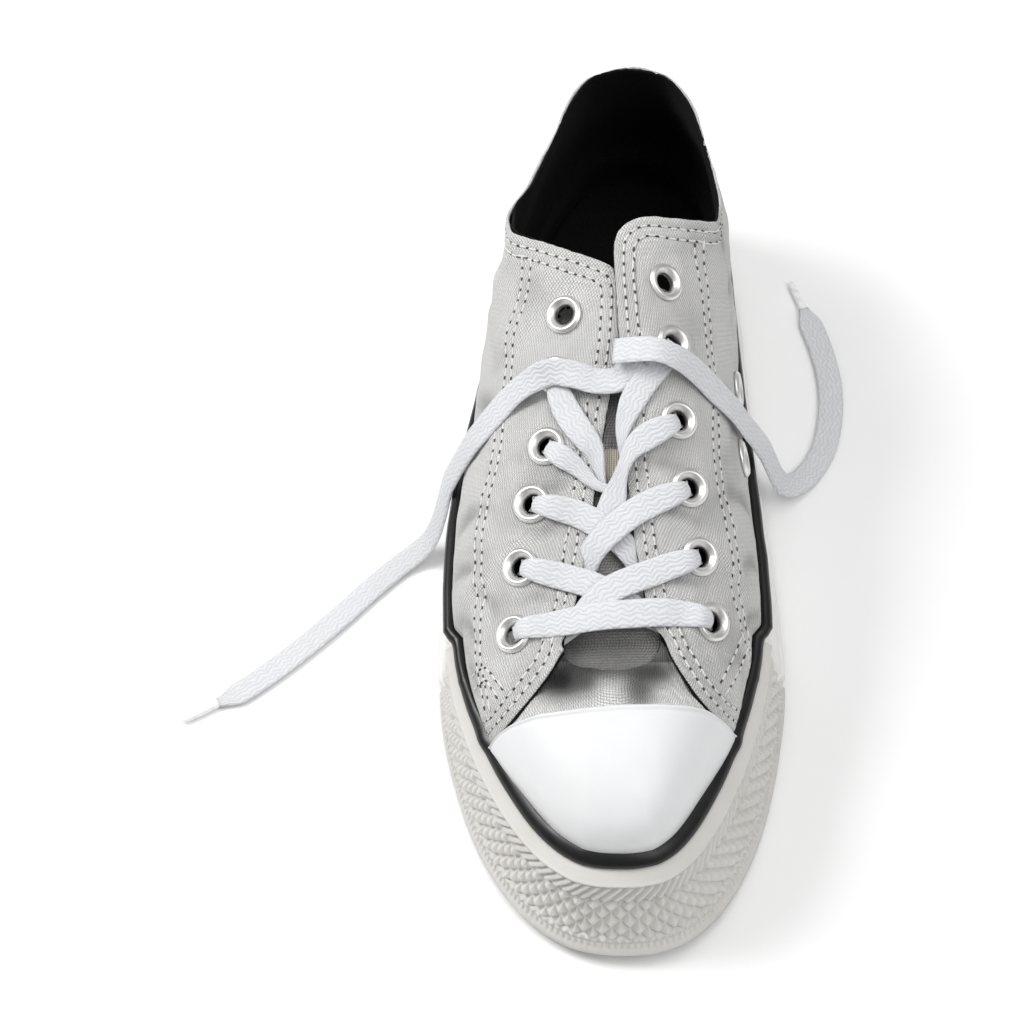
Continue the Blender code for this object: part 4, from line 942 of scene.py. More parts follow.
def make_quarters(cloth):
    """Canvas quarters from one front seam round the heel to the other, with their hems and creases."""
    share = np.linspace(-QUARTER_END, QUARTER_END, QUARTER_COLUMNS)[:, None]
    rise = np.linspace(0, 1, QUARTER_ROWS)[None, :]
    share, rise = np.broadcast_arrays(share, rise)
    side = np.where(share >= 0, 1, -1)
    ends = np.where(side > 0, front_foot(1, rise), front_foot(-1, rise)) / 2
    share = share + side * (ends - QUARTER_END) * smooth_step(np.abs(share), 0.33, QUARTER_END)
    base = upper_skin(share, rise, np.full(share.shape, LAP))
    normal = grid_normals(base)
    height = np.zeros(share.shape)
    edges = quarter_edges()
    free = np.zeros(share.shape)
    for word in (-1, 1):
        mine = side == word
        gap, along, _ = line_distance(base[mine], edges[word][::2])
        free[mine] = gap
        height[mine] += seam_relief(HEM_RELIEF, gap, along, 0.7 + word, 2.1, 1.27)
        gap, along, run = line_distance(base[mine], border_line(word)[::3])
        fade = smooth_step(free[mine], 0.0060, 0.0085)
        height[mine] += seam_relief(STAY_RELIEF, gap, along, 2.1 + word, 1.9, 1.1) * fade
        inner = smooth_step(along, 0.0, 0.004) * (gap < 0.0045)
        height[mine] += 0.00012 * inner
    for word, route, width, depth in CREASES:
        line = round_curve(np.array(route), 14)
        line = skin(word, line[:, 0], line[:, 1], LAP)
        mine = side == word
        gap, along, run = line_distance(base[mine], line)
        taper = np.sin(math.pi * np.clip(along / run, 0, 1)) ** 0.6
        hem = smooth_step(free[mine], 0.0010, 0.0080)
        deep = CREASE_GAIN * depth / 1000 * bell(gap, width / 1000)
        height[mine] += deep * taper * (0.35 + 0.65 * hem)
    pressed = height.copy()
    slack = smooth_step(rise, 0.0, 0.12)
    height += 0.00042 * uneven(base, 11, 22, 0.016, 0.040) * slack
    height += 0.00014 * uneven(base, 12, 30, 0.006, 0.014) * slack
    back = np.abs(share) * PLAN_LENGTH
    height += -0.00045 * bell(back, 0.0007) + 0.00012 * bell(back - 0.0022, 0.0016)
    front = smooth_step(np.abs(share) * 2, 0.690, 0.715)
    height = np.maximum(height, -0.00040 * front - 0.0030 * (1 - front))
    # Painted shade: the troughs of the creases and seam rows, and low spots of the soft undulation, darken
    # the cloth
    dark = 0.18 * np.clip(-pressed / 0.0009, 0, 1) + 0.09 * np.clip(-(height - pressed) / 0.0006, 0, 1)
    points = base + normal * height[..., None]
    points = flatten_under(points, normal)
    normal = grid_normals(points)
    up = unit(points[:, -1] - points[:, -3])
    rim = rolled_edge(points[:, -1], normal[:, -1], up, CLOTH / 2, range(30, 181, 30), 0.0020)
    ruffle = 0.00008 * uneven(points[:, -1], 13, 24, 0.0012, 0.004)
    rim = [row + up * ruffle[:, None] for row in rim]
    points = np.concatenate([points, np.stack(rim, axis=1)], axis=1)
    for end, beside in ((0, 1), (-1, -2)):
        out = unit(points[end] - points[beside])
        face = grid_normals(points[:3] if end == 0 else points[-3:])[end]
        rows = np.stack(rolled_edge(points[end], face, out, CLOTH / 2, range(45, 181, 45), 0.0015), axis=0)
        points = np.concatenate([rows[::-1], points] if end == 0 else [points, rows], axis=0)
    edge_rows = len(rows)
    keep = clear_of_eyelets(points, QUARTER_GAP)
    middle = edge_rows + int(QUARTER_COLUMNS * 0.22)
    body = points[edge_rows:-edge_rows, :QUARTER_ROWS]
    round_it = ((edge_rows, edge_rows), (0, points.shape[1] - QUARTER_ROWS))
    made = build_mesh(
        "quarters", points.reshape(-1, 3), grid_faces(*points.shape[:2], keep=keep), cloth,
        maps=grid_map(points, [middle, len(points) - 1 - middle]),
        marks={"shade": np.pad(1 - (1 - dark) ** SHADE_POWER, round_it, mode="edge")},
    )
    return made, body, grid_normals(body)


def make_vamp(cloth):
    """Canvas of the toe from under the quarters to under the cap, with its folds."""
    share = np.linspace(0.352, 0.648, 300)[:, None]
    rise = np.linspace(0.0, 1, VAMP_ROWS)[None, :]
    share, rise = np.broadcast_arrays(share, rise)
    base = upper_skin(share, rise, np.zeros(share.shape))
    normal = grid_normals(base)
    height = np.zeros(share.shape)
    flat = base[..., :2]
    for one, two, three, width, depth in VAMP_FOLDS:
        knots = np.array([one, two, three])
        line = np.column_stack([knots[:, 1] / 1000, LENGTH * (0.5 - knots[:, 0])])
        line = round_curve(line, 12)
        gap, along, run = line_distance(np.dstack([flat, 0 * share]), np.column_stack([line, 0 * line[:, 0]]))
        taper = np.sin(math.pi * np.clip(along / run, 0.02, 0.98)) ** 0.5
        height += depth / 1000 * bell(gap, width / 1000) * taper
    height += 0.00020 * uneven(base, 21, 24, 0.010, 0.026) * smooth_step(rise, 0.2, 0.6)
    station = 0.5 - base[..., 1] / LENGTH
    sunk = smooth_step(-station, -0.806, -0.788)
    sunk = sunk * (1 - smooth_step(np.abs(base[..., 0] - 0.0045), 0.020, 0.031))
    height -= VAMP_SINK * sunk
    points = base + normal * height[..., None]
    normal = grid_normals(points)
    up = unit(points[:, -1] - points[:, -3])
    rim = rolled_edge(points[:, -1], normal[:, -1], up, 0.0005, range(45, 181, 45), 0.003)
    points = np.concatenate([points, np.stack(rim, axis=1)], axis=1)
    # Painted shade in the vamp's hollows and on the cloth above its rear seam
    made = build_mesh(
        "vamp", points.reshape(-1, 3), grid_faces(*points.shape[:2]), cloth, maps=grid_map(points, [150]),
        marks={"shade": soft_shade(points, VAMP_SHADE, VAMP_SEAM)},
    )
    return made, points[:, :VAMP_ROWS]


def make_lining(black):
    """Black lining inside the upper, that shows as a thin line along its edge."""
    turns = np.linspace(0, 1, 720, endpoint=False)[:, None]
    rise = np.concatenate([[-1.0, -0.6, -0.2], np.linspace(0, 1, 60)])[None, :]
    turns, rise = np.broadcast_arrays(turns, rise)
    lift = LAP * np.clip(lapped(turns), 0, 1)
    lift = smooth_ring(lift, 2.0)
    front = smooth_step(foot_of(turns), 0.755, 0.785) * smooth_step(rise, 0.0, 0.2)
    base = upper_skin(turns, rise, lift - CLOTH - LINING - front * (VAMP_SINK + 0.0022))
    normal = upper_normal(turns[:, -1], rise[:, -1])
    up = unit(base[:, -1] - base[:, -3])
    proud = 0.00042 - 0.0030 * front[:, -1]
    fray = 0.00012 * uneven(base[:, -1], 31, 30, 0.0008, 0.003)
    top = base[:, -1] + up * (proud + fray)[:, None]
    rim = [top]
    radius = LINING / 2
    for angle in (135, 90, 45, 0):
        turn = math.radians(angle)
        rim.append(top + normal * radius * (math.cos(turn) + 1) + up * radius * math.sin(turn) * 0.5)
    rim.append(rim[-1] - up * 0.0022)
    # The rows run up the inside and over the edge, so the grid is turned to face the foot
    foot = base[:, 0] - upper_normal(turns[:, 0], -1.0 + 0 * turns[:, 0]) * 0.0045
    foot[:, 2] = base[:, 0, 2] + 0.00010
    points = np.concatenate([foot[:, None], base, np.stack(rim, axis=1)], axis=1)
    faces = grid_faces(*points.shape[:2], closed=True, keep=clear_of_eyelets(points, LINING_GAP))[:, ::-1]
    return build_mesh("lining", points.reshape(-1, 3), faces, black, maps=grid_map(points, [360]))


def make_edge_lining_shadow(side, black):
    """Thin black strip along a quarter's front seam: the lining's edge, and painted shadow under the seam's
    edge.
    """
    past = np.array([0.00125, 0.00145, 0.00145, 0.00125, -0.0120]) / (PLAN_LENGTH / 2)
    lift = np.array([-0.00060, 0.00010, 0.00034, 0.00042, 0.00046])
    rise = np.linspace(0.0, 1.0, 90)
    rows = np.array([skin(side, front_foot(side, rise) + out, rise, up) for out, up in zip(past, lift)])
    fray = 0.00010 * uneven(rows[0], 33 + side, 24, 0.0008, 0.003)
    out = unit(rows[0] - rows[4])
    rows[:4] += (out * fray[:, None])[None]
    if side > 0:
        rows = rows[::-1]
    return build_mesh(
        "edge_lining_shadow_medial" if side > 0 else "edge_lining_shadow_lateral", rows.reshape(-1, 3),
        grid_faces(5, 90), black, maps=grid_map(rows, [2]),
    )


def band(name, turns, profile, material, closed):
    """Skin a profile of levels and depths round the side wall; each may vary with the turn."""
    loops = []
    for level, depth in profile:
        level = np.broadcast_to(level, turns.shape)
        depth = np.broadcast_to(depth, turns.shape)
        loops.append(side_wall(turns, level, depth))
    points = np.stack(loops, axis=1)
    rows = points.shape[1]
    ends = [] if closed else [list(range(rows)), [(len(turns) - 1) * rows + row for row in range(rows)][::-1]]
    table = grid_map(np.concatenate([points, points[:1]]) if closed else points, [len(turns) // 2])
    return build_mesh(
        name, points.reshape(-1, 3), grid_faces(len(turns), rows, closed=closed), material,
        maps=table[:len(turns) * rows], ends=ends,
    )


def make_foxing(rubber):
    """Rubber band round the platform: a foot lip, a smooth face and a thin bead below the stripe."""
    turns = np.arange(1100) / 1100
    face = face_depth(turns)
    wobble = 0.00006 * uneven(side_wall(turns, 0.5, 0.0), 41, 16, 0.012, 0.04)
    inner = face + FOXING * 0.35 - GAP
    profile = [(OUTSOLE_LEVEL + 0.004, inner), (FOXING_LOW, inner)]
    profile += [(level, face + depth) for level, depth in FOXING_LIP]
    for level in np.linspace(0.18, 0.74, 12):
        swell = 0.00012 * math.sin(math.pi * (level - 0.16) / 0.6)
        profile.append((level, face + FOXING_STEP - swell + wobble))
    profile += [(level, face + depth) for level, depth in FOXING_BEAD]
    return band("foxing_rubber", turns, profile, rubber, True)


def toe_share(turns):
    """Fade to 0 at both ends of the toe bumper."""
    return smooth_step(foot_of(turns) - BUMPER_FOOT, 0.000, 0.012)


def triangle_wave(value):
    """Run from 0 to 1 and back with a period of 1."""
    return np.abs(2 * (value - np.floor(value + 0.5)))


def make_rib_band(rubber):
    """Ledge under the stripe, a thin bead and the band of slanting ribs round the toe."""
    turns = np.linspace(BUMPER_FOOT / 2, 1 - BUMPER_FOOT / 2, 1150)
    run = (turns - 0.5) * PLAN_LENGTH
    shown = toe_share(turns)
    profile = [(RIB_LOW, BUMPER), (RIB_LOW, 0.0012)]
    for level in np.linspace(RIB_LOW + 0.003, RIB_HIGH, 22):
        part = (level - RIB_LOW - 0.003) / (RIB_HIGH - RIB_LOW - 0.003)
        rib = smooth_step(triangle_wave(run / RIB_STEP + RIB_SLANT * part), 0.22, 0.66)
        edge = smooth_step(part, 0.0, 0.10) * smooth_step(1 - part, 0.0, 0.10)
        profile.append((level, 0.00120 - 0.00115 * rib * edge * shown))
    profile += [(RIB_HIGH + level, depth) for level, depth in LEDGE]
    return band("rib_band", turns, profile, rubber, False)


def make_bumper(rubber):
    """Toe bumper: rows of low diamonds, a dotted line, a finely ribbed foot band and a smooth lip."""
    turns = np.linspace(BUMPER_FOOT / 2, 1 - BUMPER_FOOT / 2, 1300)
    run = (turns - 0.5) * PLAN_LENGTH
    shown = toe_share(turns)
    profile = [(0.022, BUMPER), (0.022, 0.0007), (0.030, 0.0001), (0.060, 0.0), (0.098, 0.0)]
    for level in (0.113, 0.122, 0.135, 0.148, 0.160):
        rib = smooth_step(triangle_wave(run / 0.0019), 0.2, 0.7)
        profile.append((level, 0.00055 - 0.00040 * rib * shown))
    profile += [(0.166, 0.00065), (0.172, 0.00030)]
    for level in (0.178, 0.187, 0.196):
        dot = smooth_step(triangle_wave(run / 0.0024 + 0.25), 0.35, 0.65)
        profile.append((level, 0.00012 + 0.00045 * (1 - dot) * shown))
    profile += [(0.202, 0.00050), (0.207, 0.00110)]
    low, high = 0.210, RIB_LOW - 0.008
    count = 46
    for level in np.linspace(low, high, count):
        part = (level - low) / (high - low)
        tall = part * DIAMOND_ROWS
        one, two = run / DIAMOND_STEP + tall / 2, run / DIAMOND_STEP - tall / 2
        reach = np.minimum(triangle_wave(one), triangle_wave(two))
        diamond = 0.4 * smooth_step(reach, 0.05, 0.60) + 0.6 * np.clip(reach / 0.9, 0, 1)
        border = smooth_step(part, 0.0, 0.03) * smooth_step(1 - part, 0.0, 0.03)
        profile.append((level, 0.00160 - 0.00185 * diamond * border * shown))
    profile += [(high + 0.003, 0.00160), (RIB_LOW - 0.002, 0.00140), (RIB_LOW - 0.002, BUMPER)]
    # The foot spreads a little, as in the picture
    toe = 0.0013 * smooth_step(foot_of(turns), 0.70, 0.84)
    profile = [(level, depth - toe * max(0.0, 1 - level / 0.5)) for level, depth in profile]
    return band("bumper", turns, profile, rubber, False)


def make_stripe(rubber):
    """Glossy black bead over the top of the foxing, thicker where the bumper and seams meet it."""
    turns = np.arange(1300) / 1300
    face = face_depth(turns)
    foot = foot_of(turns)
    swell = np.zeros(len(turns))
    for place, width, size in BEAD_SWELLS:
        swell += size * bell(foot - place, width)
    for place, width, size in BEAD_LUMPS:
        swell += size * bell(turns - place, width)
    swell = swell / 1000
    ripple = 0.00007 * uneven(side_wall(turns, 1.0, 0.0), 51, 20, 0.008, 0.03)
    low, high = FOXING_TOP + 0.008, 1.0
    toe = smooth_step(foot, 0.665, 0.80)
    lift, back = STRIPE_RISE * toe, STRIPE_BACK * toe
    profile = [(low + lift, FOXING + 0.002 * toe), (low + lift, face + 0.0012 + back)]
    for angle in np.linspace(-80, 108, 15):
        turn = math.radians(angle)
        level = 0.5 * (low + high) + 0.5 * (high - low) * math.sin(turn) * (1 + 0.02 * (angle > 60))
        depth = face + 0.0010 - (0.0017 + swell) * max(math.cos(turn), -0.5) + ripple
        lean = 0.0010 * (math.sin(turn) + 0.2)
        profile.append((level + swell * 6 + lift, depth + (STRIPE_BACK + lean) * toe))
    profile.append((0.985 + lift, face + FOXING * 0.95))
    return band("stripe_bead", turns, profile, rubber, True)


def cap_turns():
    """Turns of the cap's columns, and the rise of its rear edge on each."""
    line = np.array(CAP_EDGE)
    turns = np.linspace(*CAP_TURNS, 500)
    rises = np.linspace(0.0, CAP_HIGH, 240)
    rear = np.zeros(len(turns))
    for column, turn in enumerate(turns):
        points = upper_skin(turn, rises, np.full(240, CAP_CLEARANCE + CAP_WALL))
        spots = picture_points(points)
        below = spots[:, 1] - np.interp(spots[:, 0], line[:, 0], line[:, 1])
        past = np.nonzero(below < 0)[0]
        if len(past) and past[0]:
            one = past[0] - 1
            rear[column] = rises[one] + (rises[1] - rises[0]) * below[one] / (below[one] - below[one + 1])
        elif not len(past):
            rear[column] = CAP_HIGH
    shown = np.nonzero(rear > 0.02)[0]
    wanted = np.linspace(turns[shown[0]], turns[shown[-1]], 260)
    rear = np.interp(wanted, turns, rear)
    return wanted, smooth_rows(rear[:, None], 3)[:, 0]


def make_cap(rubber):
    """Smooth toe cap with a thin raised rim along its rear edge."""
    turns, rear = cap_turns()
    part = np.concatenate([np.linspace(0, 0.93, 60, endpoint=False), np.linspace(0.93, 1.0, 14)])[None, :]
    rises = 0.004 + (rear[:, None] - 0.004) * part
    lift = np.full(rises.shape, CAP_CLEARANCE + CAP_WALL)
    base = upper_skin(turns[:, None], rises, 0 * rises)
    tail = np.linalg.norm(base - base[:, -1:], axis=-1) * 1000
    lift += 0.00022 * bell(tail - 0.9, 0.55) - 0.00016 * bell(tail - 2.1, 0.7)
    lift += -0.0006 * (1 - smooth_step(tail, 0.0, 0.55))
    lift += 0.00005 * uneven(base, 61, 14, 0.012, 0.03)
    points = upper_skin(turns[:, None], rises, lift)
    points[:, 0, 2] += GAP
    # The foot of the cap draws back behind the bead, as in the picture
    back = CAP_BACK * smooth_step(foot_of(turns), 0.76, 0.86)[:, None] * (1 - smooth_step(part, 0.0, 0.42))
    points[..., :2] -= outward_at(turns)[:, None, :] * back[..., None]
    rim = [upper_skin(turns, rear + drop, np.full(turns.shape, up)) for drop, up in
           ((0.0030, 0.0012), (0.0034, 0.0006), (0.0030, 0.0000), (0.0010, -0.0008))]
    points = np.concatenate([points, np.stack(rim, axis=1)], axis=1)
    return build_mesh(
        "cap", points.reshape(-1, 3), grid_faces(*points.shape[:2]), rubber, maps=grid_map(points, [130])
    )


def tongue_point(station, across, lift):
    """Give a point of the tongue: across runs from -1 lateral to 1 medial."""
    rows = np.array(TONGUE)[::-1]
    out = follow(station, rows[:, 0], rows[:, 1]) * BALL_WIDTH
    ridge = follow(station, rows[:, 0], rows[:, 2]) * INSTEP_HEIGHT
    half = follow(station, rows[:, 0], rows[:, 3]) * TONGUE_WIDTH / 2
    return np.stack([
        out + half * across,
        LENGTH * (0.5 - station) + 0 * across,
        ridge - TONGUE_DROP * half * 2 * across ** 2 + lift,
    ], axis=-1)


def under_vamp(points, vamp):
    """Height, middle and half width that keep each row of the tongue close under the vamp's rear edge."""
    edge = vamp[:, -1]
    front = int(np.argmin(edge[:, 1]))
    medial, lateral = edge[:front + 1][::-1], edge[front:]
    column = vamp[front]
    y = points[:, 0, 1]
    left = [np.interp(y, np.maximum.accumulate(lateral[:, 1]), lateral[:, axis]) for axis in (0, 2)]
    right = [np.interp(y, np.maximum.accumulate(medial[:, 1]), medial[:, axis]) for axis in (0, 2)]
    ahead = np.interp(y, column[:, 1], column[:, 2])
    height = np.where(y < edge[front, 1], ahead - 0.0008, 0.5 * (left[1] + right[1]))
    return height, 0.5 * (left[0] + right[0]), 0.5 * (right[0] - left[0])


def make_tongue(cloth, vamp):
    """Padded tongue with a rounded edge and soft wrinkles under the lace, its root sewn under the vamp."""
    start = 0.5 - (vamp[:, -1, 1].min() - 0.0040) / LENGTH
    station, across = np.broadcast_arrays(
        np.linspace(start, TONGUE_END, 210)[:, None], np.linspace(-1, 1, 70)[None, :]
    )
    base = tongue_point(station, across, 0.0)
    height, middle, half = under_vamp(base, vamp)
    root = smooth_step(station, *TONGUE_ROOT)
    half = np.maximum(half, 0.006)[:, None] + 0.0030
    base[..., 0] += root * (middle[:, None] + half * across - base[..., 0])
    tuck = 0.0026 * smooth_step(np.abs(across), 0.72, 1.0)
    base[..., 2] += root * (height[:, None] - 0.0010 - tuck - base[..., 2])
    ripple = 0.00030 * uneven(base, 71, 20, 0.010, 0.030) + 0.00012 * uneven(base, 72, 26, 0.005, 0.011)
    ripple = ripple * (1 - 0.7 * root)
    for place, size, width in ((0.655, -0.5, 0.008), (0.560, -0.5, 0.008)):
        ripple = ripple + size / 1000 * bell(station + 0.010 * across ** 2 - place, width)
    edge = np.sqrt(np.clip(1 - np.clip((np.abs(across) - 0.93) / 0.07, 0, 1) ** 2, 0, 1))
    ripple = ripple - 0.0050 * smooth_step(-station, -0.40, -TONGUE_END)
    up = np.array([0.0, 0.0, 1.0])
    wall = (TONGUE_WALL * (1 - 0.6 * root))[..., None]
    shift = ripple[..., None] * up
    pinch = wall / 2 * (1 - edge)[..., None] * up
    top, low = base + shift - pinch, base + shift - wall * up + pinch
    # Columns run toward the heel and rows toward the medial side, so the loop round is top then bottom
    points = np.concatenate([top, low[:, ::-1]], axis=1)[:, ::-1]
    rows = points.shape[1]
    faces = grid_faces(len(points), rows)
    seam = np.arange(len(points) - 1) * rows
    joint = np.stack([seam + rows - 1, seam, seam + rows, seam + 2 * rows - 1], axis=-1)
    faces = np.concatenate([faces, joint])
    ends = [list(range(rows))[::-1], [(len(points) - 1) * rows + row for row in range(rows)]]
    # Painted shade on the tongue where it lies under the flaps and laces
    return build_mesh(
        "tongue_cloth", points.reshape(-1, 3), faces, cloth, maps=grid_map(points, [95]), ends=ends,
        marks={"shade": soft_shade(points, TONGUE_SHADE)},
    )


def make_loop(webbing):
    """Ribbed woven keeper across the tongue."""
    middle = tongue_point(np.array(LOOP_STATION), np.array(0.0), 0.0)
    fall = (TONGUE[2][2] - TONGUE[3][2]) * INSTEP_HEIGHT / ((TONGUE[2][0] - TONGUE[3][0]) * LENGTH)
    sections = []
    for part in np.linspace(-1, 1, 40):
        slope = part * LOOP_LENGTH / 2
        base = middle + np.array([0, slope, -fall * slope + GAP + LOOP_RISE * (1 - part ** 4)]) + LOOP_SHIFT
        section = []
        for angle in np.linspace(0, 2 * math.pi, 24, endpoint=False):
            out = math.copysign(abs(math.cos(angle)) ** 0.5, math.cos(angle)) * LOOP_WIDTH / 2
            up = (math.copysign(abs(math.sin(angle)) ** 0.7, math.sin(angle)) + 1) * LOOP_THICKNESS / 2
            rib = 0.00010 * math.cos(2 * math.pi * out / 0.0013) * (math.sin(angle) > 0)
            section.append(base + np.array([out, 0, up + rib]))
        sections.append(section)
    return tube("keeper_loop", np.array(sections), webbing)


def tube(name, sections, material, maps=None):
    """Skin a row of closed sections with flat ends, facing outwards."""
    count, size = sections.shape[:2]
    one = np.arange(count - 1)[:, None] * size
    here = np.arange(size)[None, :]
    there = (here + 1) % size
    faces = np.stack([one + here, one + there, one + size + there, one + size + here], axis=-1).reshape(-1, 4)
    ends = [list(range(size))[::-1], [(count - 1) * size + row for row in range(size)]]
    made = build_mesh(name, sections.reshape(-1, 3), faces, material, maps=maps, ends=ends)
    turned = bmesh.new()
    turned.from_mesh(made.data)
    bmesh.ops.recalc_face_normals(turned, faces=turned.faces)
    turned.to_mesh(made.data)
    turned.free()
    return made


def make_eyelet(name, metal):
    """Rolled nickel ring with a barrel through the canvas."""
    place, axis = EYELET_PLACES[name]
    bore, edge = EYELET_HOLE / 2, EYELET_WIDTH / 2
    top = EYELET_SEAT + EYELET_LIP
    profile = [
        (bore + 0.00030, -WALL), (bore, -WALL + 0.0002), (bore, top - 0.0019), (bore + 0.00008, top - 0.0015),
        (bore + 0.00030, top - 0.0011), (bore + 0.00068, top - 0.0007), (bore + 0.00108, top - 0.00032),
        (bore + 0.00142, top - 0.00010), (bore + 0.00172, top), (bore + 0.00202, top - 0.00005),
        (bore + 0.00228, top - 0.00022), (bore + 0.00244, top - 0.00044), (bore + 0.00254, top - 0.00054),
        (edge - 0.00022, top - 0.00058), (edge - 0.00006, top - 0.00078), (edge, top - 0.00105),
        (edge - 0.00008, EYELET_SEAT - 0.00035), (edge - 0.0006, EYELET_SEAT - 0.00045),
    ]
    steps = 64
    across = unit(np.cross(axis, [0, 1.0, 0]))
    along = np.cross(axis, across)
    points = np.zeros((steps, len(profile), 3))
    for step in range(steps):
        angle = 2 * math.pi * step / steps
        out = across * math.cos(angle) + along * math.sin(angle)
        for row, (reach, up) in enumerate(profile):
            points[step, row] = place + out * reach + axis * up
    faces = grid_faces(steps, len(profile), closed=True)
    first = points.reshape(-1, 3)[faces[5]]
    if np.cross(first[1] - first[0], first[2] - first[1]) @ axis < 0:
        faces = faces[:, ::-1]
    return build_mesh(f"{name}_ring", points.reshape(-1, 3), faces, metal)


def throat_cloud():
    """Points over the flaps and over the gap between them, with their outward directions."""
    foots, rises = np.meshgrid(np.linspace(0.45, 0.775, 170), np.linspace(0.40, 1.0, 90), indexing="ij")
    places, ways = [], []
    for side in (-1, 1):
        turns = side_turn(side, foots)
        places.append(upper_skin(turns, rises, np.full(turns.shape, LAP)).reshape(-1, 3))
        ways.append(upper_normal(turns, rises).reshape(-1, 3))
    foot = np.linspace(0.50, 0.776, 260)
    lateral, medial = skin(-1, foot, np.ones(260), LAP), skin(1, foot, np.ones(260), LAP)
    for share in np.linspace(0, 1, 60):
        row = lateral + (medial - lateral) * share
        way = unit(np.cross(medial - lateral, np.gradient(row, axis=0)))
        way *= np.sign(way[:, 2:3])
        places.append(row)
        ways.append(way)
    return np.vstack(places), np.vstack(ways)


def lace_ribbon(name, route, ways, widths, cotton, curl, twist=0.0):
    """Flat woven strand with rounded edges, mapped in millimetres along and across."""
    way = unit(np.gradient(route, axis=0))
    up = unit(ways - (ways * way).sum(axis=1)[:, None] * way)
    side = np.cross(way, up)
    angle = np.broadcast_to(twist, len(route))[:, None]
    side, up = side * np.cos(angle) + up * np.sin(angle), up * np.cos(angle) - side * np.sin(angle)
    run = np.concatenate([[0], np.cumsum(np.linalg.norm(np.diff(route, axis=0), axis=1))])
    size = 16
    sections = np.zeros((len(route), size, 3))
    table = np.zeros((len(route), size, 2))
    for row in range(size):
        angle = 2 * math.pi * row / size
        out = math.copysign(abs(math.cos(angle)) ** 0.8, math.cos(angle))
        high = math.copysign(abs(math.sin(angle)) ** 0.55, math.sin(angle))
        thick = LACE_THICKNESS / 2 * (LACE_WIDTH / widths) ** 0.5 * (0.86 + 0.14 * out * out)
        bend = curl * (out ** 2 - 0.4)
        sections[:, row] = route + side * (out * widths / 2)[:, None] + up * (high * thick + bend)[:, None]
        table[:, row, 0] = run * 1000
        table[:, row, 1] = out * 4.0 + (9.0 if high < 0 else 0.0)
    return tube(name, sections, cotton, maps=table.reshape(-1, 2))


def eyelet_entry(name, aim):
    """Rows of a strand that comes up out of an eyelet toward a place: point, direction, width and curl."""
    place, axis = EYELET_PLACES[name]
    toward = aim - place
    toward = unit(toward - (toward @ axis) * axis)
    rows = []
    for out, up, wide, curl in ENTRY:
        point = place + (toward * out + axis * up) / 1000
        steep = max(0.0, 1 - (up + 2.2) / 4.4)
        way = unit(axis * (1 - 0.85 * steep) + toward * (0.85 * steep))
        rows.append((*point, *way, wide / 1000, curl / 1000))
    return np.array(rows)


def beyond(places, name):
    """Places of a strand that lie clear of an eyelet."""
    return [place for place in places if np.linalg.norm(place - EYELET_PLACES[name][0]) > ENTRY_REACH]


def make_strand(name, row, side, marks, tree, cloud, ways, cotton):
    """Strand from its eyelet over the throat by points read from the picture; row 1 reaches both eyelets."""
    places, facing, widths = [], [], []
    for across, down, lift, width in marks:
        index = tree.find((across, down, 0.0))[1]
        facing.append(ways[index])
        places.append(cloud[index] + ways[index] * (lift / 1000))
        widths.append(width / 1000)
    sides = ("lateral", "medial") if side < 0 else ("medial", "lateral")
    here, there = (f"eyelet_{word}_{row}" for word in sides)
    places = beyond(places, here)
    count = len(places)
    table = np.column_stack([places, facing[-count:], widths[-count:], np.zeros(count)])
    if row == 1:
        table = table[:len(beyond(places, there))]
        table = np.vstack([table, eyelet_entry(there, table[-1, :3])[::-1]])
    table = np.vstack([eyelet_entry(here, table[0, :3]), table])
    run = np.linalg.norm(np.diff(table[:, :3], axis=0), axis=1).sum()
    fine = round_curve_by_place(table, int(run / 0.0006))
    return lace_ribbon(name, fine[:, :3], unit(fine[:, 3:6]), fine[:, 6], cotton, fine[:, 7])


def round_curve_by_place(table, count):
    """Sample a smooth curve through rows, evenly along their first three columns, and soften it."""
    run = np.concatenate([[0], np.cumsum(np.linalg.norm(np.diff(table[:, :3], axis=0), axis=1))])
    wanted = np.linspace(0, run[-1], count)
    fine = np.column_stack([follow(wanted, run, table[:, axis]) for axis in range(table.shape[1])])
    soft = smooth_rows(fine, 7)
    soft[0], soft[-1] = fine[0], fine[-1]
    return soft


def lay_normal(point):
    """Say which way a free lace faces: out from the shoe on it, and up on the floor."""
    centre = np.array([0.0, point[1], 0.035])
    out = (point - centre) * np.array([1, 0, 1])
    out[2] = max(out[2], 0.0)
    out = out / np.linalg.norm(out) + np.array([0.0, -0.40, 0.55])
    out /= np.linalg.norm(out)
    share = min(1.0, point[2] / 0.012)
    return share * out + (1 - share) * np.array([0, 0, 1])


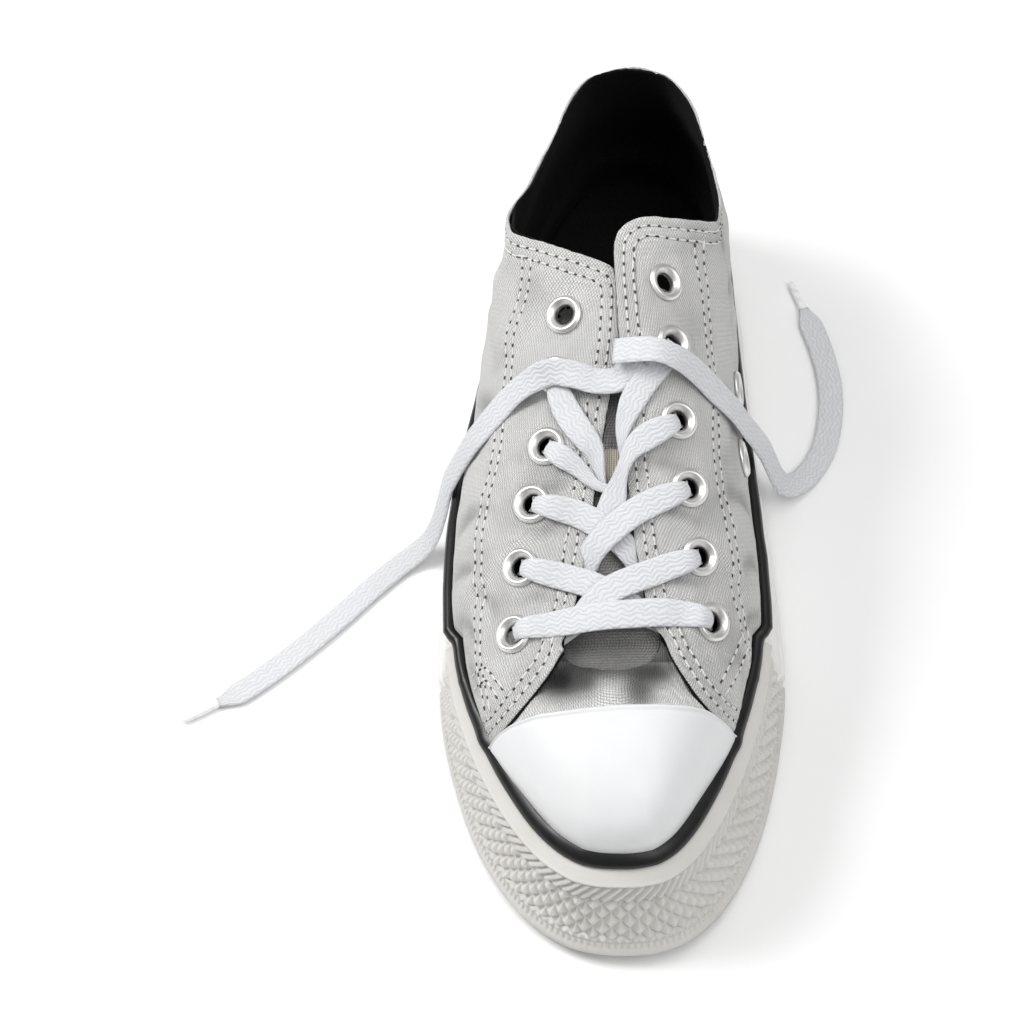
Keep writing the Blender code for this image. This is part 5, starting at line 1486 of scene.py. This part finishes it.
def make_free_end(word, route, cotton, plastic):
    """Free end of the lace and its aglet."""
    route = np.array(route) * MILLIMETRE
    run = np.linalg.norm(np.diff(route, axis=0), axis=1).sum()
    coarse = round_curve(route, int(round(run / CORD_SPACING)) + 1)
    if word == "lateral":
        coarse = np.vstack([np.array(LATERAL_TUCK) * MILLIMETRE, coarse[1:]])
        run = np.linalg.norm(np.diff(coarse, axis=0), axis=1).sum()
    fine = round_curve(coarse, int(run / 0.0011))
    length = np.linalg.norm(np.diff(fine, axis=0), axis=1).sum()
    ways = unit(smooth_rows(np.array([lay_normal(point) for point in fine]), 4))
    along = np.linspace(0, length, len(fine)) * 1000
    place, size, width = END_TWIST[word]
    twist = size * bell(along - place, width)
    widths = np.full(len(fine), LACE_WIDTH) * (1 - 0.55 * smooth_step(along, along[-1] - 7, along[-1]))
    curl = 0.00025 * np.sin(along / 23.0) - 0.0001
    end = lace_ribbon(f"free_lace_{word}", fine, ways, widths, cotton, curl, twist)
    way = coarse[-1] - coarse[-2]
    way[2] = 0.0
    way = unit(way)
    start = coarse[-1] + way * GAP
    turns = np.linspace(0, 2 * math.pi, 20, endpoint=False)
    side, up = np.cross(way, [0, 0, 1.0]), np.array([0, 0, 1.0])
    ring = np.array([side * math.cos(turn) + up * math.sin(turn) for turn in turns])
    sections = [start + way * out + ring * reach * AGLET_WIDTH / 2 for out, reach in AGLET_PROFILE]
    tip = tube(f"lace_tip_{word}", np.array(sections), plastic)
    return end, tip, fine, float(length)


class Net:
    """Short way to write shader nodes."""

    def __init__(self, tree):
        self.tree = tree

    def add(self, kind, **settings):
        """Add a node with its settings."""
        made = self.tree.nodes.new(kind)
        for word, value in settings.items():
            setattr(made, word, value)
        return made

    def feed(self, socket, value):
        """Link an output to a socket, or set it."""
        if isinstance(value, bpy.types.NodeSocket):
            self.tree.links.new(value, socket)
        else:
            socket.default_value = value

    def math(self, operation, *values):
        """Do a sum and give its output."""
        made = self.add("ShaderNodeMath", operation=operation)
        for socket, value in zip(made.inputs, values):
            self.feed(socket, value)
        return made.outputs[0]

    def blend(self, share, one, two):
        """Mix two numbers."""
        made = self.add("ShaderNodeMix", data_type="FLOAT")
        for socket, value in zip((made.inputs[0], made.inputs[2], made.inputs[3]), (share, one, two)):
            self.feed(socket, value)
        return made.outputs[0]

    def tint(self, share, one, two):
        """Mix two colours."""
        made = self.add("ShaderNodeMix", data_type="RGBA")
        for socket, value in zip((made.inputs[0], made.inputs[6], made.inputs[7]), (share, one, two)):
            self.feed(socket, (*value, 1.0) if isinstance(value, tuple) else value)
        return made.outputs[2]

    def vector(self, operation, one, two):
        """Do a sum of vectors and give its output."""
        made = self.add("ShaderNodeVectorMath", operation=operation)
        self.feed(made.inputs[0], one)
        self.feed(made.inputs[1], two)
        return made.outputs[0]

    def split(self, vector):
        """Give a vector's three parts."""
        made = self.add("ShaderNodeSeparateXYZ")
        self.feed(made.inputs[0], vector)
        return made.outputs

    def noise(self, where, scale, detail=2.0, rough=0.5):
        """Read soft noise at a place."""
        made = self.add("ShaderNodeTexNoise")
        for word, value in (("Vector", where), ("Scale", scale), ("Detail", detail), ("Roughness", rough)):
            self.feed(made.inputs[word], value)
        return made.outputs["Fac"]

    def step(self, value, low, high, bottom=0.0, top=1.0):
        """Map a value softly from one range to another."""
        made = self.add("ShaderNodeMapRange", interpolation_type="SMOOTHSTEP")
        for socket, given in zip(made.inputs, (value, low, high, bottom, top)):
            self.feed(socket, given)
        return made.outputs[0]


def stitch_tree():
    """Geometry nodes that lay a short thread, or a dark dot of painted shade for a needle hole, at every
    other step along lines.
    """
    tree = bpy.data.node_groups.new("stitch_rows", "GeometryNodeTree")
    face = tree.interface
    for word, kind in (
        ("Geometry", "Geometry"), ("Spacing", "Float"), ("Length", "Float"), ("Radius", "Float"),
        ("Phase", "Int"), ("Material", "Material"),
    ):
        face.new_socket(word, in_out="INPUT", socket_type=f"NodeSocket{kind}")
    face.new_socket("Geometry", in_out="OUTPUT", socket_type="NodeSocketGeometry")
    net = Net(tree)
    given, out = net.add("NodeGroupInput").outputs, net.add("NodeGroupOutput")
    line = net.add("GeometryNodeMeshToCurve")
    net.feed(line.inputs[0], given["Geometry"])
    steps = net.add("GeometryNodeResampleCurve", mode="LENGTH")
    net.feed(steps.inputs["Curve"], line.outputs[0])
    net.feed(steps.inputs["Length"], net.math("MULTIPLY", given["Spacing"], 0.5))
    odd = net.math("MODULO", net.add("GeometryNodeInputIndex").outputs[0], 2.0)
    chosen = net.math("COMPARE", odd, given["Phase"], 0.25)
    ball = net.add("GeometryNodeMeshUVSphere")
    for word, value in (("Segments", 8), ("Rings", 6), ("Radius", 1.0)):
        net.feed(ball.inputs[word], value)
    soft = net.add("GeometryNodeSetShadeSmooth")
    net.feed(soft.inputs[0], ball.outputs[0])
    turn = net.add("FunctionNodeAlignRotationToVector", axis="Z")
    net.feed(turn.inputs["Vector"], net.add("GeometryNodeInputTangent").outputs[0])
    vary = net.add("FunctionNodeRandomValue", data_type="FLOAT")
    for word, value in ((2, 0.40), (3, 0.54), ("Seed", 7)):
        net.feed(vary.inputs[word], value)
    size = net.add("ShaderNodeCombineXYZ")
    net.feed(size.inputs[0], given["Radius"])
    net.feed(size.inputs[1], given["Radius"])
    net.feed(size.inputs[2], net.math("MULTIPLY", given["Length"], vary.outputs[1]))
    place = net.add("GeometryNodeInstanceOnPoints")
    for word, value in (
        ("Points", steps.outputs[0]), ("Selection", chosen), ("Instance", soft.outputs[0]),
        ("Rotation", turn.outputs[0]), ("Scale", size.outputs[0]),
    ):
        net.feed(place.inputs[word], value)
    real, coat = net.add("GeometryNodeRealizeInstances"), net.add("GeometryNodeSetMaterial")
    net.feed(real.inputs[0], place.outputs[0])
    net.feed(coat.inputs[0], real.outputs[0])
    net.feed(coat.inputs["Material"], given["Material"])
    net.feed(out.inputs[0], coat.outputs[0])
    return tree


def lay_along(name, tree, lines, material, length, radius, phase):
    """Run the stitch nodes along lines and keep the result as a plain mesh."""
    verts = [tuple(point) for line in lines for point in line]
    edges, start = [], 0
    for line in lines:
        edges += [(start + step, start + step + 1) for step in range(len(line) - 1)]
        start += len(line)
    mesh = bpy.data.meshes.new(name)
    mesh.from_pydata(verts, edges, [])
    made = bpy.data.objects.new(name, mesh)
    bpy.context.scene.collection.objects.link(made)
    rows = made.modifiers.new("rows", "NODES")
    rows.node_group = tree
    values = {
        "Spacing": STITCH_SPACING, "Length": length, "Radius": radius, "Phase": phase, "Material": material,
    }
    for socket in tree.interface.items_tree:
        if socket.in_out == "INPUT" and socket.name in values:
            rows[socket.identifier] = values[socket.name]
    graph = bpy.context.evaluated_depsgraph_get()
    plain = bpy.data.meshes.new_from_object(made.evaluated_get(graph))
    made.modifiers.remove(rows)
    made.data = plain
    made.data.name = name
    return made


def settle(points, cloud, normals, tree):
    """Put points a thread's lift above the nearest part of the finished cloth."""
    laid = []
    for point in points:
        index = tree.find(point)[1]
        laid.append(point - normals[index] * ((point - cloud[index]) @ normals[index] - THREAD_LIFT))
    return np.array(laid)


def offset_row(line, ways, distance, guard=None):
    """Shift a line sideways over the surface, leaving out what comes nearer to the line than that."""
    along = unit(np.gradient(line, axis=0))
    inward = unit(np.cross(ways, along))
    moved = line + inward * distance
    if guard is None:
        return moved
    gap, _, _ = line_distance(moved, guard)
    return moved[gap > abs(distance) - 0.00025]


def place_tree(points):
    """Search tree of points."""
    tree = KDTree(len(points))
    for index, place in enumerate(points):
        tree.insert(place, index)
    tree.balance()
    return tree


def seam_lines(cloud, normals):
    """Every stitched line of the quarters, laid on the finished cloth."""
    tree = place_tree(cloud)
    lines = []
    for side in (-1, 1):
        edge = round_curve(quarter_edges()[side], 900)
        ways = np.array([normals[tree.find(point)[1]] for point in edge])
        ways = unit(smooth_rows(ways, 6))
        for distance in (ROW_NEAR, ROW_FAR):
            moved = offset_row(edge, ways, -distance * side, edge[::3])
            lines.append(settle(moved, cloud, normals, tree))
        border = border_line(side)
        ways = unit(smooth_rows(np.array([normals[tree.find(point)[1]] for point in border]), 5))
        for distance in (-BORDER_HALF, BORDER_HALF):
            moved = offset_row(border, ways, distance)
            gap, _, _ = line_distance(moved, edge[::3])
            lines.append(settle(moved[gap > BORDER_CLEAR], cloud, normals, tree))
    for out in (-BACK_HALF, BACK_HALF):
        back = skin(1, np.full(90, 0.0), np.linspace(0.03, 0.90, 90), LAP) + np.array([out, 0.0, 0.0])
        lines.append(settle(back, cloud, normals, tree))
    seen = picture_points(cloud)
    for side, rows in CORNER_ROWS.items():
        mine = (cloud[:, 0] * side > 0) & (normals[:, 2] > 0.05) & (cloud[:, 1] < -0.03)
        here = place_tree(np.column_stack([seen[mine], np.zeros(mine.sum())]))
        spots = np.nonzero(mine)[0]
        for row in rows:
            steps = [np.linspace(one, two, 12, endpoint=False) for one, two in zip(row, row[1:])]
            marks = np.vstack(steps)
            found = [spots[here.find((across, down, 0.0))[1]] for across, down in marks]
            lines.append(smooth_rows(cloud[found] + normals[found] * THREAD_LIFT, 1))
    return lines


def group(name, given, made):
    """Start a shader group with named inputs and outputs of numbers."""
    tree = bpy.data.node_groups.new(name, "ShaderNodeTree")
    for word, kind in given:
        tree.interface.new_socket(word, in_out="INPUT", socket_type=f"NodeSocket{kind}")
    for word in made:
        tree.interface.new_socket(word, in_out="OUTPUT", socket_type="NodeSocketFloat")
    net = Net(tree)
    return tree, net, net.add("NodeGroupInput").outputs, net.add("NodeGroupOutput").inputs


def weave_group():
    """Plain weave of slightly uneven threads, on a map in millimetres."""
    tree, net, given, out = group(
        "plain weave", (("Map", "Vector"), ("Pitch", "Float"), ("Slub", "Float")), ("Height", "Thread")
    )
    warp = net.add("ShaderNodeTexNoise")
    for word, value in (("Vector", given["Map"]), ("Scale", 0.35), ("Detail", 3.0)):
        net.feed(warp.inputs[word], value)
    drift = net.vector("SUBTRACT", warp.outputs["Color"], (0.5, 0.5, 0.5))
    push = net.add("ShaderNodeVectorMath", operation="SCALE")
    net.feed(push.inputs[0], drift)
    net.feed(push.inputs["Scale"], given["Slub"])
    moved = net.vector("ADD", given["Map"], push.outputs[0])
    along, across, _ = net.split(moved)
    turn = net.math("DIVIDE", math.pi, given["Pitch"])
    one, two = net.math("MULTIPLY", along, turn), net.math("MULTIPLY", across, turn)
    round_one = net.math("ABSOLUTE", net.math("COSINE", one))
    round_two = net.math("ABSOLUTE", net.math("COSINE", two))
    over = net.math("MULTIPLY", net.math("SINE", net.math("ADD", one, math.pi / 2)),
                    net.math("SINE", net.math("ADD", two, math.pi / 2)))
    side = net.step(over, -0.5, 0.5)
    height = net.blend(side, net.math("POWER", round_one, 0.7), net.math("POWER", round_two, 0.7))
    rough = net.noise(moved, 2.4, 3.0, 0.7)
    net.feed(out["Height"], net.math("ADD", height, net.math("MULTIPLY", rough, 0.75)))
    # Thread is the threads' height, unevenly scaled, that the cloth's painted shade between threads follows
    net.feed(out["Thread"], net.math("MULTIPLY", height, net.blend(rough, 0.55, 1.35)))
    return tree


def chevron_group():
    """Zigzag ribs that run along a flat braid, on a map in millimetres."""
    tree, net, given, out = group(
        "flat braid", (("Map", "Vector"), ("Pitch", "Float"), ("Tooth", "Float")), ("Height",)
    )
    along, across, _ = net.split(given["Map"])
    tooth = net.math("PINGPONG", along, net.math("MULTIPLY", given["Tooth"], 0.5))
    loose = net.math("MULTIPLY", net.noise(given["Map"], 0.45, 2.0, 0.6), 2.2)
    lean = net.math("ADD", net.math("MULTIPLY", tooth, 0.46), loose)
    run = net.math("DIVIDE", net.math("ADD", across, lean), given["Pitch"])
    rib = net.math("COSINE", net.math("MULTIPLY", run, 2 * math.pi))
    ridge = net.math("MULTIPLY", net.math("ADD", rib, 1.0), 0.5)
    fuzz = net.noise(given["Map"], 3.0, 3.0, 0.7)
    net.feed(out["Height"], net.math("ADD", ridge, net.math("MULTIPLY", fuzz, 0.45)))
    return tree


def wear_group():
    """Faint blotches and specks of handling dirt, in metres."""
    tree, net, given, out = group(
        "light wear", (("Place", "Vector"), ("Amount", "Float")), ("Blotch", "Speck")
    )
    wide = net.noise(given["Place"], 38.0, 4.0, 0.62)
    fine = net.noise(given["Place"], 900.0, 2.0, 0.5)
    net.feed(out["Blotch"], net.math("MULTIPLY", net.step(wide, 0.45, 0.80), given["Amount"]))
    net.feed(out["Speck"], net.math("MULTIPLY", net.step(fine, 0.68, 0.78), given["Amount"]))
    return tree


WEAVE, BRAID, WEAR = weave_group(), chevron_group(), wear_group()


def start_material(name, rough, metal=0.0, sheen=0.0, coat=0.0, spec=0.5):
    """Start a material with its plain values set on the shader itself, and a way to read places on it."""
    made = bpy.data.materials.new(name)
    made.use_nodes = True
    net = Net(made.node_tree)
    shader = made.node_tree.nodes["Principled BSDF"].inputs
    for word, value in (
        ("Roughness", rough), ("Metallic", metal), ("Sheen Weight", sheen), ("Sheen Roughness", 0.4),
        ("Coat Weight", coat), ("Coat Roughness", 0.12), ("Specular IOR Level", spec),
    ):
        shader[word].default_value = value
    return made, net, shader, net.add("ShaderNodeTexCoord").outputs


def use_group(net, tree, **values):
    """Place a group, feed its inputs and give its outputs."""
    made = net.add("ShaderNodeGroup")
    made.node_tree = tree
    for word, value in values.items():
        net.feed(made.inputs[word], value)
    return made.outputs


def raise_bump(net, shader, height, distance):
    """Feed a height to the shader's normal."""
    bump = net.add("ShaderNodeBump")
    for word, value in (("Strength", 1.0), ("Distance", distance), ("Height", height)):
        net.feed(bump.inputs[word], value)
    net.feed(shader["Normal"], bump.outputs[0])


def cloth_material(name, colour, gap_shade, depth, dirt=0.0):
    """Woven cotton with painted shade between its threads, and the painted shade marked on its piece."""
    made, net, shader, spot = start_material(name, 0.93, sheen=0.12, spec=0.25)
    weave = use_group(net, WEAVE, Map=spot["UV"], Pitch=WEAVE_PITCH, Slub=0.35)
    wear = use_group(net, WEAR, Place=spot["Object"], Amount=0.6)
    # Painted shade between the threads: the colour falls to the gap colour where the threads run low
    woven = net.tint(net.step(weave["Thread"], 0.25, 0.95), gap_shade, colour)
    soiled = tuple(value * 0.72 for value in colour)
    worn = net.tint(net.math("MULTIPLY", wear["Blotch"], 0.10), woven, soiled)
    if dirt:
        low = net.step(net.split(spot["Object"])[2], 0.036, 0.046, 1.0, 0.0)
        patch = net.noise(spot["Object"], 120.0, 4.0, 0.6)
        soil = net.math("MULTIPLY", low, net.step(patch, 0.4, 0.7, 0.0, dirt))
        worn = net.tint(soil, worn, (0.42, 0.39, 0.34))
    # Painted shade marked on the piece darkens the cloth toward near black
    shade = net.add("ShaderNodeAttribute", attribute_name="shade")
    net.feed(shader["Base Color"], net.tint(shade.outputs["Fac"], worn, (0.022, 0.022, 0.022)))
    raise_bump(net, shader, weave["Height"], depth)
    return made


def rubber_material(name, colour, rough, dirt, bump=0.00003, coat=0.0, soil=(0.50, 0.47, 0.41)):
    """Moulded rubber, faintly mottled, with blotches and specks of dirt."""
    made, net, shader, spot = start_material(name, rough, coat=coat, spec=0.45)
    wear = use_group(net, WEAR, Place=spot["Object"], Amount=1.0)
    mottle = net.noise(spot["Object"], 160.0, 4.0, 0.6)
    marks = net.math("ADD", wear["Blotch"], net.math("MULTIPLY", wear["Speck"], 0.8))
    share = net.math("MULTIPLY", marks, dirt)
    clean = net.tint(net.step(mottle, 0.3, 0.7, 0.0, 0.35), colour, tuple(value * 0.95 for value in colour))
    net.feed(shader["Base Color"], net.tint(share, clean, soil))
    net.feed(shader["Roughness"], net.step(mottle, 0.3, 0.7, rough - 0.05, rough + 0.07))
    grain = net.noise(spot["Object"], 1500.0, 3.0, 0.6)
    raise_bump(net, shader, net.math("ADD", grain, net.math("MULTIPLY", mottle, 0.6)), bump)
    return made


def braid_material():
    """White flat braid of the lace, with painted shade between its ribs."""
    made, net, shader, spot = start_material("lace braid", 0.90, sheen=0.15, spec=0.3)
    braid = use_group(net, BRAID, Map=spot["UV"], Pitch=1.45, Tooth=4.2)
    wear = use_group(net, WEAR, Place=spot["Object"], Amount=0.4)
    # Painted shade: darker and bluer where the ribs run low, lighter on their ridges
    colour = net.tint(net.step(braid["Height"], 0.1, 0.9), (0.57, 0.575, 0.595), (0.665, 0.67, 0.69))
    worn = net.math("MULTIPLY", wear["Blotch"], 0.12)
    net.feed(shader["Base Color"], net.tint(worn, colour, (0.62, 0.60, 0.57)))
    raise_bump(net, shader, braid["Height"], 0.00013)
    return made


def black_cloth_material():
    """Black brushed cotton of the lining and sock liner."""
    made, net, shader, spot = start_material("black lining cloth", 0.95, sheen=0.02, spec=0.12)
    fuzz = net.noise(spot["Object"], 1400.0, 4.0, 0.7)
    share = net.step(fuzz, 0.3, 0.8)
    net.feed(shader["Base Color"], net.tint(share, (0.0035, 0.0035, 0.0038), (0.011, 0.011, 0.012)))
    raise_bump(net, shader, fuzz, 0.0003)
    return made


def metal_material():
    """Nickel with fine wear."""
    made, net, shader, spot = start_material("polished nickel", 0.20, metal=1.0)
    wear = use_group(net, WEAR, Place=spot["Object"], Amount=1.0)
    scuff = net.noise(spot["Object"], 700.0, 4.0, 0.6)
    worn = net.math("MULTIPLY", wear["Speck"], 0.15)
    net.feed(shader["Base Color"], net.tint(worn, (0.76, 0.755, 0.74), (0.5, 0.48, 0.46)))
    net.feed(shader["Roughness"], net.step(scuff, 0.35, 0.75, 0.40, 0.48))
    return made


def thread_material(name, colour, dark):
    """Sewing thread with a fine twist."""
    made, net, shader, spot = start_material(name, 0.85, sheen=0.1, spec=0.3)
    twist = net.noise(spot["Object"], 2600.0, 2.0, 0.5)
    net.feed(shader["Base Color"], net.tint(net.step(twist, 0.3, 0.7), dark, colour))
    raise_bump(net, shader, twist, 0.00006)
    return made


def plastic_material():
    """Milky film of the lace tips over the braid."""
    made, net, shader, spot = start_material("milky tip film", 0.28, coat=0.4)
    cloud = net.noise(spot["Object"], 500.0, 3.0, 0.6)
    share = net.step(cloud, 0.3, 0.7)
    net.feed(shader["Base Color"], net.tint(share, (0.80, 0.80, 0.81), (0.90, 0.90, 0.90)))
    net.feed(shader["Roughness"], net.step(cloud, 0.3, 0.7, 0.22, 0.36))
    raise_bump(net, shader, cloud, 0.00004)
    return made


def webbing_material():
    """Ribbed beige tape of the keeper, with painted shade in the grooves between its ribs."""
    made, net, shader, spot = start_material("keeper tape", 0.92, sheen=0.1, spec=0.25)
    across, along, _ = net.split(spot["Object"])
    rib = net.math("PINGPONG", net.math("MULTIPLY", across, 1000.0), 0.35)
    cross = net.math("PINGPONG", net.math("MULTIPLY", along, 1000.0), 0.30)
    weft = net.math("MULTIPLY", net.step(cross, 0.05, 0.25), 0.5)
    height = net.math("ADD", net.step(rib, 0.05, 0.30), weft)
    # Painted shade: the tape darkens where its ribs and weft run low
    share = net.step(height, 0.2, 1.2)
    net.feed(shader["Base Color"], net.tint(share, (0.36, 0.33, 0.27), (0.68, 0.64, 0.56)))
    raise_bump(net, shader, height, 0.00018)
    return made


def floor_material():
    """Pale studio floor, barely mottled."""
    made, net, shader, spot = start_material("pale studio floor", 0.75, spec=0.2)
    cloud = net.noise(spot["Object"], 2.0, 3.0, 0.5)
    net.feed(shader["Base Color"], net.tint(cloud, (0.90, 0.90, 0.90), (0.92, 0.92, 0.92)))
    return made


def set_camera():
    """Camera at the photograph's place, turned to the one shoe."""
    across, down = AIM[0] - PHOTO_MIDDLE, AIM[1] - PHOTO_MIDDLE
    aim = unit(CAMERA_AHEAD * PHOTO_FOCAL + CAMERA_RIGHT * across - CAMERA_UP * down)
    right = unit(CAMERA_RIGHT - (CAMERA_RIGHT @ aim) * aim)
    up = np.cross(right, aim)
    data = bpy.data.cameras.new("camera")
    data.sensor_width = SENSOR
    data.lens = PHOTO_FOCAL * CLOSER / (2 * PHOTO_MIDDLE) * SENSOR
    data.clip_start, data.clip_end = 0.05, 20.0
    camera = bpy.data.objects.new("camera", data)
    turn = Matrix(np.column_stack([right, up, -aim]).tolist()).to_4x4()
    camera.matrix_world = Matrix.Translation(Vector(EYE)) @ turn
    bpy.context.scene.collection.objects.link(camera)
    bpy.context.scene.camera = camera


def set_lamp(name, place, size, power):
    """Soft square lamp that looks at the shoe."""
    data = bpy.data.lights.new(name, "AREA")
    data.shape = "RECTANGLE"
    data.size = data.size_y = size
    data.energy = power
    lamp = bpy.data.objects.new(name, data)
    way = Vector(LAMP_AIM) - Vector(place)
    lamp.matrix_world = Matrix.Translation(Vector(place)) @ way.to_track_quat("-Z", "Y").to_matrix().to_4x4()
    bpy.context.scene.collection.objects.link(lamp)


def set_world():
    """Even pale room, a little darker toward the horizon."""
    world = bpy.data.worlds.new("studio")
    world.use_nodes = True
    net = Net(world.node_tree)
    back = world.node_tree.nodes["Background"]
    high = net.step(net.split(net.add("ShaderNodeTexCoord").outputs["Generated"])[2], -0.1, 0.9)
    net.feed(back.inputs["Color"], net.tint(high, (0.50, 0.50, 0.51), (1.0, 1.0, 1.0)))
    back.inputs["Strength"].default_value = WORLD_STRENGTH
    bpy.context.scene.world = world


def set_stage():
    """Floor, room and lamps."""
    mesh = bpy.data.meshes.new("floor")
    mesh.from_pydata([(-3, -3, 0), (3, -3, 0), (3, 3, 0), (-3, 3, 0)], [], [(0, 1, 2, 3)])
    mesh.materials.append(floor_material())
    floor = bpy.data.objects.new("floor", mesh)
    bpy.context.scene.collection.objects.link(floor)
    set_world()
    for name, place, size, power in LAMPS:
        set_lamp(name, place, size, power)
    bpy.context.scene.view_settings.view_transform = "Standard"


def mount(piece, node):
    """Put a piece on the shoe's body, and hide the imported node that it shows."""
    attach(piece, "root")
    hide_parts(node)


def dress_upper(canvas, toe_cloth, black, thread, shadow):
    """Put on the quarters, vamp, lining, black edge strips of lining edge and painted shadow, and stitching,
    and give the vamp's grid.
    """
    quarters, body, facing = make_quarters(canvas)
    vamp, vamp_body = make_vamp(toe_cloth)
    lining = make_lining(black)
    edge_lining_shadows = [make_edge_lining_shadow(side, black) for side in (-1, 1)]
    lines = seam_lines(body.reshape(-1, 3)[::2], facing.reshape(-1, 3)[::2])
    tree = stitch_tree()
    threads = lay_along("stitches", tree, lines, thread, STITCH_LENGTH * 2, STITCH_RADIUS, 0)
    # Dark dots of painted shade stand for the needle holes between the stitches
    hole_shade_dots = lay_along("needle_hole_shade", tree, lines, shadow, HOLE_RADIUS * 5, HOLE_RADIUS, 1)
    for piece in (quarters, vamp, lining, threads, hole_shade_dots, *edge_lining_shadows):
        mount(piece, "upper")
    return vamp_body


def dress_laces(cotton, plastic):
    """Lay the strands over the throat, and the two free ends with their tips."""
    cloud, ways = throat_cloud()
    flat = picture_points(cloud)
    search = place_tree(np.column_stack([flat, np.zeros(len(flat))]))
    for row, side, marks in STRANDS:
        word = "bar" if row == 1 else ("lateral" if side < 0 else "medial")
        strand = make_strand(f"lace_strand_{row}_{word}", row, side, marks, search, cloud, ways, cotton)
        mount(strand, f"lace_row_{row}")
    for word, route in (("lateral", LATERAL_END), ("medial", MEDIAL_END)):
        end, tip, path, length = make_free_end(word, route, cotton, plastic)
        mount(end, f"lace_end_{word}")
        mount(tip, f"aglet_{word}")


def dress():
    """Build every piece and put it on the shoe."""
    # The second colour is the painted shade between the canvas threads
    cloth, thread_gap_shade = (0.93, 0.925, 0.915), (0.64, 0.635, 0.62)
    canvas = cloth_material("pale grey canvas", cloth, thread_gap_shade, 0.00075, dirt=0.20)
    toe_cloth = cloth_material("toe canvas", cloth, thread_gap_shade, 0.00060)
    # The tongue's canvas is a darker copy of the same canvas: painted shade of the tongue lying low in the
    # throat
    tongue_cloth = cloth_material("tongue canvas", (0.74, 0.73, 0.72), (0.40, 0.39, 0.38), 0.00050)
    black = black_cloth_material()
    white = rubber_material("white sidewall rubber", (0.82, 0.815, 0.80), 0.55, 0.15)
    relief = rubber_material("white bumper rubber", (0.63, 0.615, 0.585), 0.60, 0.35)
    bead = rubber_material(
        "glossy black rubber", (0.0025, 0.0025, 0.0028), 0.34, 0.01, bump=0.00001, soil=(0.1, 0.1, 0.1)
    )
    shiny = rubber_material("smooth cap rubber", (0.72, 0.725, 0.73), 0.42, 0.06, bump=0.000012, coat=0.08)
    nickel = metal_material()
    thread = thread_material("pale thread", (0.73, 0.725, 0.71), (0.57, 0.565, 0.55))
    # Near-black dots of painted shade for the needle holes
    shadow = thread_material("needle hole", (0.075, 0.072, 0.07), (0.04, 0.04, 0.04))

    vamp_body = dress_upper(canvas, toe_cloth, black, thread, shadow)
    mount(make_foxing(white), "foxing")
    mount(make_rib_band(relief), "toe_rib_band")
    mount(make_bumper(relief), "toe_bumper")
    mount(make_stripe(bead), "stripe")
    mount(make_cap(shiny), "toe_cap")
    mount(make_tongue(tongue_cloth, vamp_body), "tongue")
    mount(make_loop(webbing_material()), "tongue_loop")
    for name in EYELET_PLACES:
        mount(make_eyelet(name, nickel), name)
    dress_laces(braid_material(), plastic_material())

    for name, material in (("outsole", relief), ("midsole", white), ("insole", black)):
        for slot in bpy.data.objects[name].material_slots:
            slot.material = material


dress()
set_stage()
set_camera()
